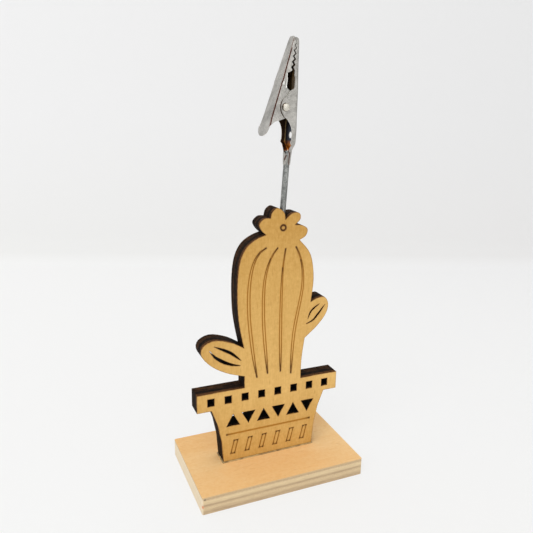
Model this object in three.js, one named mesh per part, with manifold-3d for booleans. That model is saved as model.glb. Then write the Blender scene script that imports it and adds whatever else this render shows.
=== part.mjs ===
// Photo clip holder: a plywood cactus in a pot stands on a plywood base, and a wire set in the
// cactus flower holds a small crocodile clip for a photo or a card.
//
// Millimetres. X runs to the right along the base, Y to the back and Z up. The origin is the
// middle of the base's underside. The clip is drawn in the frame of its wire, whose Z runs up
// the wire, and is turned into place with it.

import * as THREE from "three";
import { mergeVertices } from "three/addons/utils/BufferGeometryUtils.js";
import Module from "manifold-3d";

const wasm = await Module();
wasm.setup();

// Plywood sheet: five plies, from the face to the back.
const FACE_VENEER = 0.45;
const UPPER_CROSS_PLY = 1.1;
const CORE_PLY = 1.75;
const LOWER_CROSS_PLY = 0.95;
const BACK_PLY = 2.1;

// Base board.
const BASE_WIDTH = 60;
const BASE_DEPTH = 37;
const BASE_CORNER = 0.5;

// Glue between the pot's foot and the base, and how far it is squeezed out.
const FOOT_GLUE = 0.3;
const GLUE_SQUEEZE = 0.45;

// Pot of the cactus panel, measured up from its foot.
const PANEL_SETBACK = 15.9;
const POT_FOOT_WIDTH = 34.8;
const POT_TOP_WIDTH = 43.3;
const POT_HEIGHT = 20.9;
const POT_WAIST_WIDTH = 35.6;
const POT_WAIST_HEIGHT = 13;
const RIM_WIDTH = 53.6;
const RIM_HEIGHT = 6.6;

// Square holes along the pot's rim.
const RIM_HOLES = 8;
const RIM_HOLE_PITCH = 6.24;
const RIM_HOLE_WIDTH = 2.5;
const RIM_HOLE_HEIGHT = 2.85;
const RIM_HOLE_SILL = 1.8;

// Triangular holes below the rim, pointing up and down by turns.
const TRIANGLES = 6;
const TRIANGLE_PITCH = 5.76;
const TRIANGLE_WIDTH = 5;
const TRIANGLE_HEIGHT = 4.55;
const TRIANGLE_SILL = 13.7;
const TRIANGLE_SHIFT = 0.6;

// Engraving: a line round the pot, a row of leaning dashes below it, and the cactus ribs.
const ENGRAVE_DEPTH = 0.25;
const ENGRAVE_WIDTH = 0.34;
const POT_LINE_HEIGHT = 10.6;
const POT_LINE_LENGTH = 32.6;
const POT_LINE_WIDTH = 0.6;
const DASHES = 6;
const DASH_PITCH = 5.42;
const DASH_WIDTH = 1.75;
const DASH_HEIGHT = 5.4;
const DASH_LEAN = 1.3;
const DASH_SILL = 2.6;
const DASH_SHIFT = 0.2;
const RIB_SPREAD = 0.95;
const RIB_FOOT = 0.045;
const RIB_STEPS = 20;
const FLOWER_RING = 2.3;
const FLOWER_RING_WIDTH = 0.48;
const FLOWER_RING_RISE = 0.25;

// Cactus above the pot's rim: the trunk, its two arms and the flower over the trunk's top.
const TRUNK_SIDE = 1.75;
const TRUNK_WIDTH = 28.1;
const TRUNK_HEIGHT = 52;
const LEFT_ARM_REACH = 15.4;
const LEFT_ARM_RISE = 14.7;
const RIGHT_ARM_REACH = 8.9;
const RIGHT_ARM_RISE = 14.75;
const FLOWER_SIDE = 3.8;
const FLOWER_RISE = 3.6;
const FLOWER_REACH = 9;

// Wire that stands in the flower, with the hole drilled for it.
const WIRE = 2;
const WIRE_LEAN = THREE.MathUtils.degToRad(3.55);
const WIRE_SIDE = 0.9;
const WIRE_MOUTH = 2.7;
const WIRE_SET = 13;
const WIRE_SHOWN = 17.9;
const WIRE_IN_CLIP = 4.5;
const WIRE_CLEARANCE = 0.05;
const HOLE_CLEARANCE = 0.25;
const HOLE_TIP = 0.6;

// Sheet steel of the clip and the play between its two jaws.
const METAL = 0.3;
const CRIMP_CLEARANCE = 0.13;
const CRIMP_END_CLEARANCE = 0.09;
const CRIMP_END_METAL = 0.15;
const BEND_RADIUS = 0.6;
const CHEEK_LEAST = 0.04;
const CHEEK_PLAY = 0.12;

// Heights in the clip, measured up the wire from the lower end of the crimp.
const CRIMP_HEIGHT = 3.9;
const TAIL_HEIGHT = 7.2;
const EAR_FOOT = 12.2;
const PIVOT_HEIGHT = 17.9;
const EAR_TOP = 22.9;
const MOUTH_HEIGHT = 29.1;
const FIXED_TIP = 39;
const LEVER_TIP = 39.25;

// Places across the clip, measured from the wire's axis towards the fixed jaw's back.
const FIXED_BACK = 1.03;
const FIXED_RAKE = 0.0185;
const LEVER_BACK = -1.72;
const LEVER_RAKE = 0.26;
const PIVOT_SIDE = -3.45;
const EAR_CENTRE = -1.05;
const EAR_RADIUS = 4;

// Half widths of the two jaws.
const TIP_HALF = 2;
const MOUTH_HALF = 2.75;
const LEVER_SHOULDER_HALF = 3.2;
const LEVER_NECK_HALF = 2.9;
const LEVER_HIP_HALF = 3.5;
const TAIL_HALF = 4.15;
const THUMB_HALF = 4.1;

// Teeth.
const TEETH = 6;
const TOOTH_PITCH = 1.66;
const TOOTH_DEPTH = 0.68;
const BITE_SIDE = -0.91;
const BITE_RAKE = 0.095;
const BITE_GAP = 0.26;
const BITE_GAP_RAKE = 0.085;

// Holes, rivet and spring.
const TAIL_HOLE = 2.1;
const TAIL_HOLE_HEIGHT = 9.5;
const RIVET = 1.6;
const RIVET_PLAY = 0.06;
const RIVET_HEAD = 2.3;
const RIVET_HEAD_HEIGHT = 0.6;
const RIVET_HEAD_GAP = 0.14;
const SPRING_WIRE = 0.5;
const SPRING_PITCH = 1.08;
const SPRING_PLAY = 0.35;
const SPRING_TURNS = 3;
const SPRING_SEAT_GAP = 0.06;
const FIXED_LEG_HEIGHT = 11.6;
const LEVER_LEG_HEIGHT = 12.9;

// Worked out from the sizes above.
const SHEET = FACE_VENEER + UPPER_CROSS_PLY + CORE_PLY + LOWER_CROSS_PLY + BACK_PLY;
const PANEL_FRONT = PANEL_SETBACK - BASE_DEPTH / 2;
const PANEL_FOOT = SHEET + FOOT_GLUE;
const RIM_TOP = POT_HEIGHT + RIM_HEIGHT;
const FLOWER_HEIGHT = RIM_TOP + TRUNK_HEIGHT + FLOWER_RISE;

const finish = (color, roughness, metalness = 0) =>
  new THREE.MeshStandardMaterial({ color, roughness, metalness });

const FINISH = {
  face: finish(0xd8ac68, 0.6),
  cross: finish(0xb39c7c, 0.75),
  core: finish(0xd9bd8c, 0.7),
  back: finish(0xc9a878, 0.7),
  glue: finish(0xe6d9b4, 0.35),
  clip: finish(0xbdb9b1, 0.35, 0.9),
  wire: finish(0x8b9092, 0.45, 0.85),
  spring: finish(0x6f6a62, 0.4, 0.9),
};

const PLIES = [
  { name: "face_veneer", thickness: FACE_VENEER, finish: FINISH.face },
  { name: "upper_cross_ply", thickness: UPPER_CROSS_PLY, finish: FINISH.cross },
  { name: "core_ply", thickness: CORE_PLY, finish: FINISH.core },
  { name: "lower_cross_ply", thickness: LOWER_CROSS_PLY, finish: FINISH.cross },
  { name: "back_ply", thickness: BACK_PLY, finish: FINISH.back },
];

// A closed mesh as a solid for cutting and joining.
function solidOf(geometry) {
  const bare = geometry.clone();
  bare.deleteAttribute("normal");
  bare.deleteAttribute("uv");
  const welded = mergeVertices(bare, 1e-5);
  return new wasm.Manifold(
    new wasm.Mesh({
      numProp: 3,
      vertProperties: new Float32Array(welded.attributes.position.array),
      triVerts: new Uint32Array(welded.index.array),
    })
  );
}

function geometryOf(solid) {
  const mesh = solid.getMesh();
  const geometry = new THREE.BufferGeometry();
  geometry.setAttribute("position", new THREE.BufferAttribute(mesh.vertProperties, 3));
  geometry.setIndex(new THREE.BufferAttribute(mesh.triVerts, 1));
  geometry.computeVertexNormals();
  return geometry;
}

function cut(geometry, tools) {
  let solid = solidOf(geometry);
  for (const tool of tools) {
    solid = solid.subtract(solidOf(tool));
  }
  return geometryOf(solid);
}

function named(name, geometry, material) {
  const mesh = new THREE.Mesh(geometry, material);
  mesh.name = name;
  return mesh;
}

// Base board: the same rounded outline for every ply, the back ply lowest.
function baseBoard() {
  const board = new THREE.Group();
  let top = SHEET;
  for (const ply of PLIES) {
    const geometry = new THREE.ExtrudeGeometry(roundedRectangle(BASE_WIDTH, BASE_DEPTH, BASE_CORNER), {
      depth: ply.thickness,
      bevelEnabled: false,
      curveSegments: 3,
    });
    top -= ply.thickness;
    const mesh = named(`base_${ply.name}`, geometry, ply.finish);
    mesh.position.z = top;
    board.add(mesh);
  }
  return board;
}

function roundedRectangle(width, depth, corner) {
  const x = width / 2 - corner;
  const y = depth / 2 - corner;
  const shape = new THREE.Shape();
  shape.absarc(x, y, corner, 0, Math.PI / 2);
  shape.absarc(-x, y, corner, Math.PI / 2, Math.PI);
  shape.absarc(-x, -y, corner, Math.PI, Math.PI * 1.5);
  shape.absarc(x, -y, corner, Math.PI * 1.5, Math.PI * 2);
  shape.closePath();
  return shape;
}

// Glue squeezed out a little all round the pot's foot.
function footGlue() {
  const outline = roundedRectangle(
    POT_FOOT_WIDTH + 2 * GLUE_SQUEEZE,
    SHEET + 2 * GLUE_SQUEEZE,
    GLUE_SQUEEZE
  );
  const geometry = new THREE.ExtrudeGeometry(outline, {
    depth: FOOT_GLUE,
    bevelEnabled: false,
    curveSegments: 3,
  });
  const mesh = named("foot_glue", geometry, FINISH.glue);
  mesh.position.set(0, PANEL_FRONT + SHEET / 2, SHEET);
  return mesh;
}

// Places on the cactus, in shares of the trunk, of an arm and of the flower. The trunk's shares
// run from its middle and the rim's top, and an arm's from its foot on the trunk.
const onTrunk = ([across, up]) =>
  new THREE.Vector2(TRUNK_SIDE + (across * TRUNK_WIDTH) / 2, RIM_TOP + up * TRUNK_HEIGHT);
const onLeftArm = ([across, up]) =>
  onTrunk([-0.808, 0.085]).add(new THREE.Vector2(-across * LEFT_ARM_REACH, up * LEFT_ARM_RISE));
const onRightArm = ([across, up]) =>
  onTrunk([0.808, 0.296]).add(new THREE.Vector2(across * RIGHT_ARM_REACH, up * RIGHT_ARM_RISE));
const onFlower = ([across, up]) =>
  new THREE.Vector2(FLOWER_SIDE + across * FLOWER_REACH, FLOWER_HEIGHT + up * FLOWER_REACH);

// Outline of the cactus panel, anticlockwise from the left of the pot's foot.
function cactusOutline() {
  const outline = new THREE.Shape();
  const trunkEdge = (side) => onTrunk([side, 0]).x;
  outline.moveTo(-POT_FOOT_WIDTH / 2, 0);
  outline.lineTo(POT_FOOT_WIDTH / 2, 0);
  outline.quadraticCurveTo(POT_WAIST_WIDTH / 2, POT_WAIST_HEIGHT, POT_TOP_WIDTH / 2, POT_HEIGHT);
  outline.lineTo(RIM_WIDTH / 2, POT_HEIGHT);
  outline.lineTo(RIM_WIDTH / 2, RIM_TOP);

  // right side of the trunk and the right arm
  outline.lineTo(trunkEdge(0.73), RIM_TOP);
  outline.splineThru([onTrunk([0.74, 0.144]), onRightArm([0, 0])]);
  outline.splineThru(
    [[0.247, 0.122], [0.562, 0.285], [0.91, 0.549], [1, 0.807], [0.809, 0.99], [0.427, 0.963]].map(onRightArm)
  );
  outline.splineThru([onTrunk([0.943, 0.552])]);
  outline.splineThru([...[[1, 0.721], [0.893, 0.883]].map(onTrunk), onFlower([0.689, -0.478])]);

  // four petals, from the right to the left
  outline.splineThru([[0.933, -0.333], [1, -0.089], [0.8, 0.067], [0.478, 0.111]].map(onFlower));
  outline.splineThru([[0.689, 0.311], [0.644, 0.544], [0.344, 0.544], [0.078, 0.311]].map(onFlower));
  outline.splineThru([[0.033, 0.578], [-0.222, 0.767], [-0.444, 0.633], [-0.511, 0.4]].map(onFlower));
  outline.splineThru([[-0.756, 0.4], [-0.956, 0.2], [-0.867, -0.022], [-0.689, -0.2]].map(onFlower));

  // left side of the trunk and the left arm
  outline.splineThru([
    ...[[-0.459, 1.02], [-0.616, 0.998], [-0.751, 0.969], [-0.865, 0.923], [-0.943, 0.862]].map(onTrunk),
    ...[[-0.986, 0.779], [-1, 0.663], [-0.979, 0.519], [-0.918, 0.404], [-0.829, 0.288]].map(onTrunk),
  ]);
  outline.splineThru([
    ...[[0.318, 0.898], [0.695, 1], [0.961, 0.884], [0.987, 0.653]].map(onLeftArm),
    ...[[0.753, 0.367], [0.396, 0.143], [0, 0]].map(onLeftArm),
  ]);
  outline.lineTo(trunkEdge(-0.808), RIM_TOP);

  outline.lineTo(-RIM_WIDTH / 2, RIM_TOP);
  outline.lineTo(-RIM_WIDTH / 2, POT_HEIGHT);
  outline.lineTo(-POT_TOP_WIDTH / 2, POT_HEIGHT);
  outline.quadraticCurveTo(-POT_WAIST_WIDTH / 2, POT_WAIST_HEIGHT, -POT_FOOT_WIDTH / 2, 0);
  return outline;
}

// Evenly spaced places about the middle.
function row(count, pitch, middle = 0) {
  return Array.from({ length: count }, (_, i) => middle + (i - (count - 1) / 2) * pitch);
}

function polygon(Kind, points) {
  const path = new Kind();
  path.setFromPoints(points.map(([x, z]) => new THREE.Vector2(x, z)));
  path.closePath();
  return path;
}

function rimHoles() {
  const low = POT_HEIGHT + RIM_HOLE_SILL;
  const half = RIM_HOLE_WIDTH / 2;
  return row(RIM_HOLES, RIM_HOLE_PITCH).map((x) =>
    polygon(THREE.Shape, [
      [x - half, low],
      [x + half, low],
      [x + half, low + RIM_HOLE_HEIGHT],
      [x - half, low + RIM_HOLE_HEIGHT],
    ])
  );
}

function triangleHoles() {
  return row(TRIANGLES, TRIANGLE_PITCH, TRIANGLE_SHIFT).map((x, i) => {
    const pointsUp = i % 2 === 0;
    const flat = pointsUp ? TRIANGLE_SILL : TRIANGLE_SILL + TRIANGLE_HEIGHT;
    const tip = pointsUp ? TRIANGLE_SILL + TRIANGLE_HEIGHT : TRIANGLE_SILL;
    return polygon(THREE.Shape, [
      [x - TRIANGLE_WIDTH / 2, flat],
      [x, tip],
      [x + TRIANGLE_WIDTH / 2, flat],
    ]);
  });
}

// Outline of a line along a curve, as wide at each share of it as width gives.
function ribbon(Kind, curve, width, from, to, steps) {
  const sides = [[], []];
  for (let i = 0; i <= steps; i++) {
    const t = from + ((to - from) * i) / steps;
    const point = curve.getPointAt(t);
    const along = curve.getTangentAt(t);
    const half = width(t) / 2;
    sides[0].push([point.x + along.y * half, point.y - along.x * half]);
    sides[1].unshift([point.x - along.y * half, point.y + along.x * half]);
  }
  return polygon(Kind, [...sides[0], ...sides[1]]);
}

// Crescent slots that draw the folds where the arms leave the trunk.
function armSlots() {
  const slots = [
    { width: 1, place: onLeftArm, points: [[0.708, 0.857], [0.351, 0.66], [0.084, 0.415]] },
    {
      width: 1.15,
      place: onLeftArm,
      points: [[0.812, 0.769], [0.695, 0.605], [0.519, 0.463], [0.318, 0.354], [0.104, 0.293]],
    },
    {
      width: 0.6,
      place: onRightArm,
      points: [[0.118, 0.481], [0.202, 0.624], [0.348, 0.725], [0.607, 0.827]],
    },
    {
      width: 0.7,
      place: onRightArm,
      points: [[0.056, 0.359], [0.348, 0.434], [0.573, 0.583], [0.854, 0.793]],
    },
  ];
  const end = 0.12;
  return slots.map(({ width, place, points }) => {
    const swelling = (t) => end + (width - end) * Math.sin(Math.PI * t);
    return ribbon(THREE.Shape, new THREE.SplineCurve(points.map(place)), swelling, 0, 1, 9);
  });
}

// Rib lines from the top down: one line that forks into two a little way in, and joins again
// just above its foot. The fork is a share of the line's length.
function ribShapes() {
  const ribs = [
    {
      fork: 0.06,
      points: [
        [-0.278, 0.951], [-0.381, 0.937], [-0.477, 0.913], [-0.577, 0.869], [-0.648, 0.808],
        [-0.698, 0.721], [-0.715, 0.615], [-0.694, 0.465], [-0.594, 0.238], [-0.48, 0.062],
      ],
    },
    {
      fork: 0.1,
      points: [
        [0.018, 0.946], [-0.142, 0.888], [-0.27, 0.792], [-0.327, 0.683], [-0.335, 0.558],
        [-0.306, 0.377], [-0.196, 0.077],
      ],
    },
    {
      fork: 0.15,
      points: [
        [0.221, 0.937], [0.185, 0.871], [0.153, 0.788], [0.135, 0.654], [0.132, 0.5],
        [0.139, 0.288], [0.157, 0.077],
      ],
    },
    {
      fork: 0.11,
      points: [
        [0.491, 0.944], [0.605, 0.881], [0.683, 0.798], [0.705, 0.712], [0.676, 0.615],
        [0.523, 0.388], [0.47, 0.231], [0.445, 0.05],
      ],
    },
  ];
  const least = 0.02;
  return ribs.map(({ fork, points }) => {
    const curve = new THREE.SplineCurve(points.map(onTrunk));
    const opening = -Math.log(1 - ENGRAVE_WIDTH / RIB_SPREAD);
    const opened = (t, merge) => 1 - Math.exp((-opening * t) / merge);
    const spread = (t) => RIB_SPREAD * opened(t, fork) * opened(1 - t, RIB_FOOT);
    const outer = (t) => spread(t) + ENGRAVE_WIDTH;
    const inner = (t) => Math.max(spread(t) - ENGRAVE_WIDTH, least);
    const shape = ribbon(THREE.Shape, curve, outer, 0, 1, RIB_STEPS);
    shape.holes = [ribbon(THREE.Path, curve, inner, fork, 1 - RIB_FOOT, RIB_STEPS)];
    return shape;
  });
}

function dashShapes() {
  return row(DASHES, DASH_PITCH, DASH_SHIFT).map((x) => {
    const outline = (Kind, inset) => {
      const slope = DASH_LEAN / DASH_HEIGHT;
      const half = DASH_WIDTH / 2 - inset;
      const low = DASH_SILL + inset;
      const high = DASH_SILL + DASH_HEIGHT - inset;
      const middle = (z) => x + (z - DASH_SILL - DASH_HEIGHT / 2) * slope;
      return polygon(Kind, [
        [middle(low) - half, low],
        [middle(low) + half, low],
        [middle(high) + half, high],
        [middle(high) - half, high],
      ]);
    };
    const shape = outline(THREE.Shape, 0);
    shape.holes = [outline(THREE.Path, ENGRAVE_WIDTH)];
    return shape;
  });
}

function potLineShape() {
  const half = POT_LINE_LENGTH / 2;
  const low = POT_LINE_HEIGHT - POT_LINE_WIDTH / 2;
  const high = POT_LINE_HEIGHT + POT_LINE_WIDTH / 2;
  return polygon(THREE.Shape, [[-half, low], [half, low], [half, high], [-half, high]]);
}

function flowerRingShape() {
  const height = FLOWER_HEIGHT + FLOWER_RING_RISE;
  const shape = new THREE.Shape();
  shape.absarc(FLOWER_SIDE, height, FLOWER_RING / 2, 0, Math.PI * 2);
  const inside = new THREE.Path();
  inside.absarc(FLOWER_SIDE, height, FLOWER_RING / 2 - FLOWER_RING_WIDTH, 0, Math.PI * 2);
  shape.holes = [inside];
  return shape;
}

// A flat shape drawn in X and Z, made solid from one depth behind the panel's front to another.
function standing(shape, front, back, curveSegments) {
  const geometry = new THREE.ExtrudeGeometry(shape, {
    depth: back - front,
    bevelEnabled: false,
    curveSegments,
  });
  geometry.rotateX(Math.PI / 2);
  geometry.translate(0, back, 0);
  return geometry;
}

// Where the wire leaves the panel, in the panel's frame, and the turn that leans it.
function stemPose() {
  return new THREE.Matrix4()
    .makeTranslation(FLOWER_SIDE + WIRE_SIDE, SHEET / 2, FLOWER_HEIGHT + WIRE_MOUTH)
    .multiply(new THREE.Matrix4().makeRotationY(WIRE_LEAN));
}

function upright(radius, low, high, sides) {
  const geometry = new THREE.CylinderGeometry(radius, radius, high - low, sides);
  geometry.rotateX(Math.PI / 2);
  geometry.translate(0, 0, (low + high) / 2);
  return geometry;
}

function stemHole() {
  const hole = upright(WIRE / 2 + HOLE_CLEARANCE, -WIRE_SET - HOLE_TIP, FLOWER_REACH, 24);
  hole.applyMatrix4(stemPose());
  return hole;
}

// Cactus panel: every ply has the outline and the holes, and the face veneer the engraving.
function cactusPanel() {
  const panel = new THREE.Group();
  const hole = stemHole();
  const windows = [...rimHoles(), ...triangleHoles(), ...armSlots()].map((shape) =>
    standing(shape, -SHEET, 2 * SHEET, 1)
  );
  const engraving = [...ribShapes(), ...dashShapes(), potLineShape(), flowerRingShape()].map((shape) =>
    standing(shape, -ENGRAVE_DEPTH, ENGRAVE_DEPTH, 8)
  );
  let depth = 0;
  for (const ply of PLIES) {
    const sheet = standing(cactusOutline(), 0, ply.thickness, 3);
    const drill = hole.clone().translate(0, -depth, 0);
    const marks = ply === PLIES[0] ? engraving : [];
    const mesh = named(`cactus_${ply.name}`, cut(sheet, [...windows, ...marks, drill]), ply.finish);
    mesh.position.y = depth;
    panel.add(mesh);
    depth += ply.thickness;
  }
  panel.position.set(0, PANEL_FRONT, PANEL_FOOT);
  return panel;
}

// The wire and the glue that holds it in its hole.
function stem() {
  const wire = named(
    "stem_wire",
    upright(WIRE / 2, -WIRE_SET, WIRE_SHOWN + WIRE_IN_CLIP, 24),
    FINISH.wire
  );
  const inner = WIRE / 2 + WIRE_CLEARANCE;
  const outer = WIRE / 2 + HOLE_CLEARANCE - WIRE_CLEARANCE;
  const sleeve = new THREE.LatheGeometry(
    [
      new THREE.Vector2(inner, -WIRE_SET),
      new THREE.Vector2(outer, -WIRE_SET),
      new THREE.Vector2(outer, 0),
      new THREE.Vector2(inner, HOLE_CLEARANCE),
      new THREE.Vector2(inner, -WIRE_SET),
    ],
    24
  );
  sleeve.rotateX(Math.PI / 2);
  return [wire, named("stem_glue", sleeve, FINISH.glue)];
}

// Steps round each bend of a folded section.
const BEND_STEPS = 4;

// Section of a folded channel: two cheeks at half the width and a back that joins them. The
// back faces +X when facing is 1 and -X when it is -1, and the cheeks end at edge.
function channelSection({ z, half, back, edge, facing }) {
  const depth = facing * (back - edge);
  const bend = Math.min(BEND_RADIUS, depth - CHEEK_LEAST);
  const centre = facing * back - bend;
  const line = (inset) => {
    const radius = bend - inset;
    const points = [[facing * edge, -(half - inset)]];
    for (const side of [-1, 1]) {
      for (let i = 0; i <= BEND_STEPS; i++) {
        const turn = (i / BEND_STEPS) * (Math.PI / 2);
        const angle = side < 0 ? turn - Math.PI / 2 : turn;
        const across = side * (half - bend);
        points.push([centre + radius * Math.cos(angle), across + radius * Math.sin(angle)]);
      }
    }
    points.push([facing * edge, half - inset]);
    return points.map(([x, y]) => new THREE.Vector3(facing * x, y, z));
  };
  return { outer: line(0), inner: line(METAL) };
}

// Section of a flat strip with as many points as a folded one.
function flatSection({ z, half, back, facing }) {
  const count = 2 * BEND_STEPS + 4;
  const line = (inset) =>
    Array.from({ length: count }, (_, i) => {
      const y = half * ((2 * i) / (count - 1) - 1);
      return new THREE.Vector3(back - facing * inset, y, z);
    });
  return { outer: line(0), inner: line(METAL) };
}

// Section of the crimp round the wire, from the angle of its near ear to that of its far ear, at
// a share of the crimp's height. The crimp is pressed closer and thinner towards its lower end.
function crimpSection({ share, near, far }) {
  const z = share * CRIMP_HEIGHT;
  const full = Math.min(share, 1);
  const metal = THREE.MathUtils.lerp(CRIMP_END_METAL, METAL, full);
  const radius = WIRE / 2 + THREE.MathUtils.lerp(CRIMP_END_CLEARANCE, CRIMP_CLEARANCE, full) + metal;
  const count = 2 * BEND_STEPS + 4;
  const line = (inset) =>
    Array.from({ length: count }, (_, i) => {
      const angle = THREE.MathUtils.degToRad(THREE.MathUtils.lerp(near, far, i / (count - 1)));
      const reach = radius - inset;
      return new THREE.Vector3(reach * Math.cos(angle), reach * Math.sin(angle), z);
    });
  return { outer: line(0), inner: line(metal) };
}

// A stamped piece: its sections joined from the lowest to the highest.
function stamped(sections, facing) {
  const rings = sections.map(({ outer, inner }) => [...outer, ...[...inner].reverse()]);
  const count = rings[0].length;
  const positions = rings.flat().flatMap((point) => [point.x, point.y, point.z]);
  const index = [];
  const quad = (a, b, c, d) => {
    const faces = facing > 0 ? [a, b, c, a, c, d] : [a, c, b, a, d, c];
    index.push(...faces);
  };
  for (let level = 0; level < rings.length - 1; level++) {
    const low = level * count;
    const high = low + count;
    for (let i = 0; i < count; i++) {
      const next = (i + 1) % count;
      quad(low + i, low + next, high + next, high + i);
    }
  }
  const last = (rings.length - 1) * count;
  for (let i = 0; i < count / 2 - 1; i++) {
    const mirror = count - 1 - i;
    quad(i + 1, i, mirror, mirror - 1);
    quad(last + i, last + i + 1, last + mirror - 1, last + mirror);
  }
  const geometry = new THREE.BufferGeometry();
  geometry.setAttribute("position", new THREE.Float32BufferAttribute(positions, 3));
  geometry.setIndex(index);
  geometry.computeVertexNormals();
  return geometry;
}

// A value read off straight lines between [height, value] pairs, lowest first.
function between(pairs, z) {
  const above = pairs.findIndex(([height]) => height >= z);
  if (above < 0) return pairs.at(-1)[1];
  if (above === 0) return pairs[0][1];
  const [lowZ, low] = pairs[above - 1];
  const [highZ, high] = pairs[above];
  return low + ((high - low) * (z - lowZ)) / (highZ - lowZ);
}

const fixedBack = (z) => FIXED_BACK - FIXED_RAKE * z;
const leverBack = (z) => LEVER_BACK - LEVER_RAKE * (LEVER_TIP - z);

// Half width of the lever, which steps in below its shoulder to pass between the ears.
const SHOULDER_HEIGHT = EAR_TOP + 2.7;
const NECK_HEIGHT = EAR_TOP + 1.8;
const HIP_HEIGHT = PIVOT_HEIGHT - 3.7;
const THUMB_HEIGHT = EAR_FOOT - 0.7;
const THUMB_END = EAR_FOOT - 3.7;
const leverHalf = (z) =>
  between(
    [
      [THUMB_HEIGHT, THUMB_HALF],
      [HIP_HEIGHT, LEVER_HIP_HALF],
      [NECK_HEIGHT, LEVER_NECK_HALF],
      [SHOULDER_HEIGHT, LEVER_SHOULDER_HALF],
      [MOUTH_HEIGHT, MOUTH_HALF],
      [LEVER_TIP - 1, TIP_HALF],
      [LEVER_TIP, TIP_HALF - 0.7],
    ],
    z
  );

// Half width of the fixed jaw, whose ears stand outside the lever with the play between them.
const earHalf = (z) => leverHalf(z) + CHEEK_PLAY + METAL;
const fixedHalf = (z) =>
  between(
    [
      [TAIL_HEIGHT - 0.8, TAIL_HALF - 0.5],
      [TAIL_HEIGHT, TAIL_HALF],
      [EAR_FOOT, TAIL_HALF],
      [HIP_HEIGHT, earHalf(HIP_HEIGHT)],
      [EAR_TOP, earHalf(EAR_TOP)],
      [MOUTH_HEIGHT, MOUTH_HALF],
      [FIXED_TIP - 1, TIP_HALF],
      [FIXED_TIP, TIP_HALF - 0.7],
    ],
    z
  );

// The line that the two rows of teeth share, and the gap that opens between them to the rear.
const biteSide = (z) => BITE_SIDE - BITE_RAKE * (FIXED_TIP - 2 - z);
const biteGap = (z) => BITE_GAP + BITE_GAP_RAKE * (FIXED_TIP - 2 - z);

// Cheek edges through the teeth: the lever has a point where the fixed jaw has a notch.
function toothEdges(facing) {
  const edges = [];
  for (let i = 0; i < 2 * TEETH - 1; i++) {
    const z = MOUTH_HEIGHT + (i * TOOTH_PITCH) / 2;
    const wave = i % 2 === 0 ? TOOTH_DEPTH / 2 : -TOOTH_DEPTH / 2;
    edges.push([z, biteSide(z) + wave + (facing * biteGap(z)) / 2]);
  }
  return edges;
}

function jawSections(edges, half, back, facing) {
  return edges.map(([z, edge]) =>
    channelSection({ z, half: half(z), back: back(z), edge, facing })
  );
}

function crossPin(radius, z, x) {
  const pin = new THREE.CylinderGeometry(radius, radius, 4 * TAIL_HALF, 24);
  pin.translate(x, 0, z);
  return pin;
}

// Fixed jaw: crimp, tail, round ears about the pivot, open side window, teeth and nose.
function fixedJaw() {
  const facing = 1;
  const crimp = [
    { share: 0, near: -101, far: 226 },
    { share: 0.1, near: -101, far: 239 },
    { share: 0.23, near: -102, far: 247 },
    { share: 0.49, near: -103, far: 250 },
    { share: 0.67, near: -103, far: 247 },
    { share: 0.77, near: -104, far: 240 },
    { share: 0.85, near: -104, far: 230 },
    { share: 0.92, near: -104, far: 216 },
    { share: 1, near: -104, far: 200 },
    { share: 1.08, near: -104, far: 184 },
    { share: 1.19, near: -104, far: 165 },
  ].map(crimpSection);

  const earEdge = (degrees) => {
    const angle = THREE.MathUtils.degToRad(degrees);
    return [PIVOT_HEIGHT + EAR_RADIUS * Math.sin(angle), EAR_CENTRE + EAR_RADIUS * Math.cos(angle)];
  };
  const tail = [
    [TAIL_HEIGHT - 0.8, -0.55],
    [TAIL_HEIGHT, -1.1],
    [TAIL_HEIGHT + 0.8, -0.8],
    [TAIL_HEIGHT + 2.4, -0.82],
    [EAR_FOOT - 1.3, -0.95],
    [EAR_FOOT - 0.3, -1.2],
    [EAR_FOOT + 0.6, -1.65],
    [EAR_FOOT + 1.4, -2.2],
  ];
  const ears = [-113, -123, -134, -145, -157, -169, 180, 169, 157, 145, 134, 124].map(earEdge);
  const window = [
    [EAR_TOP, -2.25],
    [EAR_TOP + 0.8, -0.8],
    [MOUTH_HEIGHT - 2.3, -0.55],
    [MOUTH_HEIGHT - 1.2, -0.95],
  ];
  const nose = [
    [FIXED_TIP - 0.75, biteSide(FIXED_TIP) - 0.42],
    [FIXED_TIP - 0.3, biteSide(FIXED_TIP) - 0.5],
  ];
  const edges = [...tail, ...ears, ...window, ...toothEdges(facing), ...nose];
  const body = jawSections(edges, fixedHalf, fixedBack, facing);
  body.push(
    channelSection({
      z: FIXED_TIP,
      half: fixedHalf(FIXED_TIP),
      back: fixedBack(FIXED_TIP) - 0.35,
      edge: biteSide(FIXED_TIP) - 0.42,
      facing,
    })
  );
  const tailHole = new THREE.CylinderGeometry(TAIL_HOLE / 2, TAIL_HOLE / 2, 2 * BEND_RADIUS, 20);
  tailHole.rotateZ(Math.PI / 2);
  tailHole.translate(fixedBack(TAIL_HOLE_HEIGHT), 0, TAIL_HOLE_HEIGHT);
  const pivot = crossPin(RIVET / 2 + RIVET_PLAY, PIVOT_HEIGHT, PIVOT_SIDE);
  return cut(stamped([...crimp, ...body], facing), [tailHole, pivot]);
}

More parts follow.
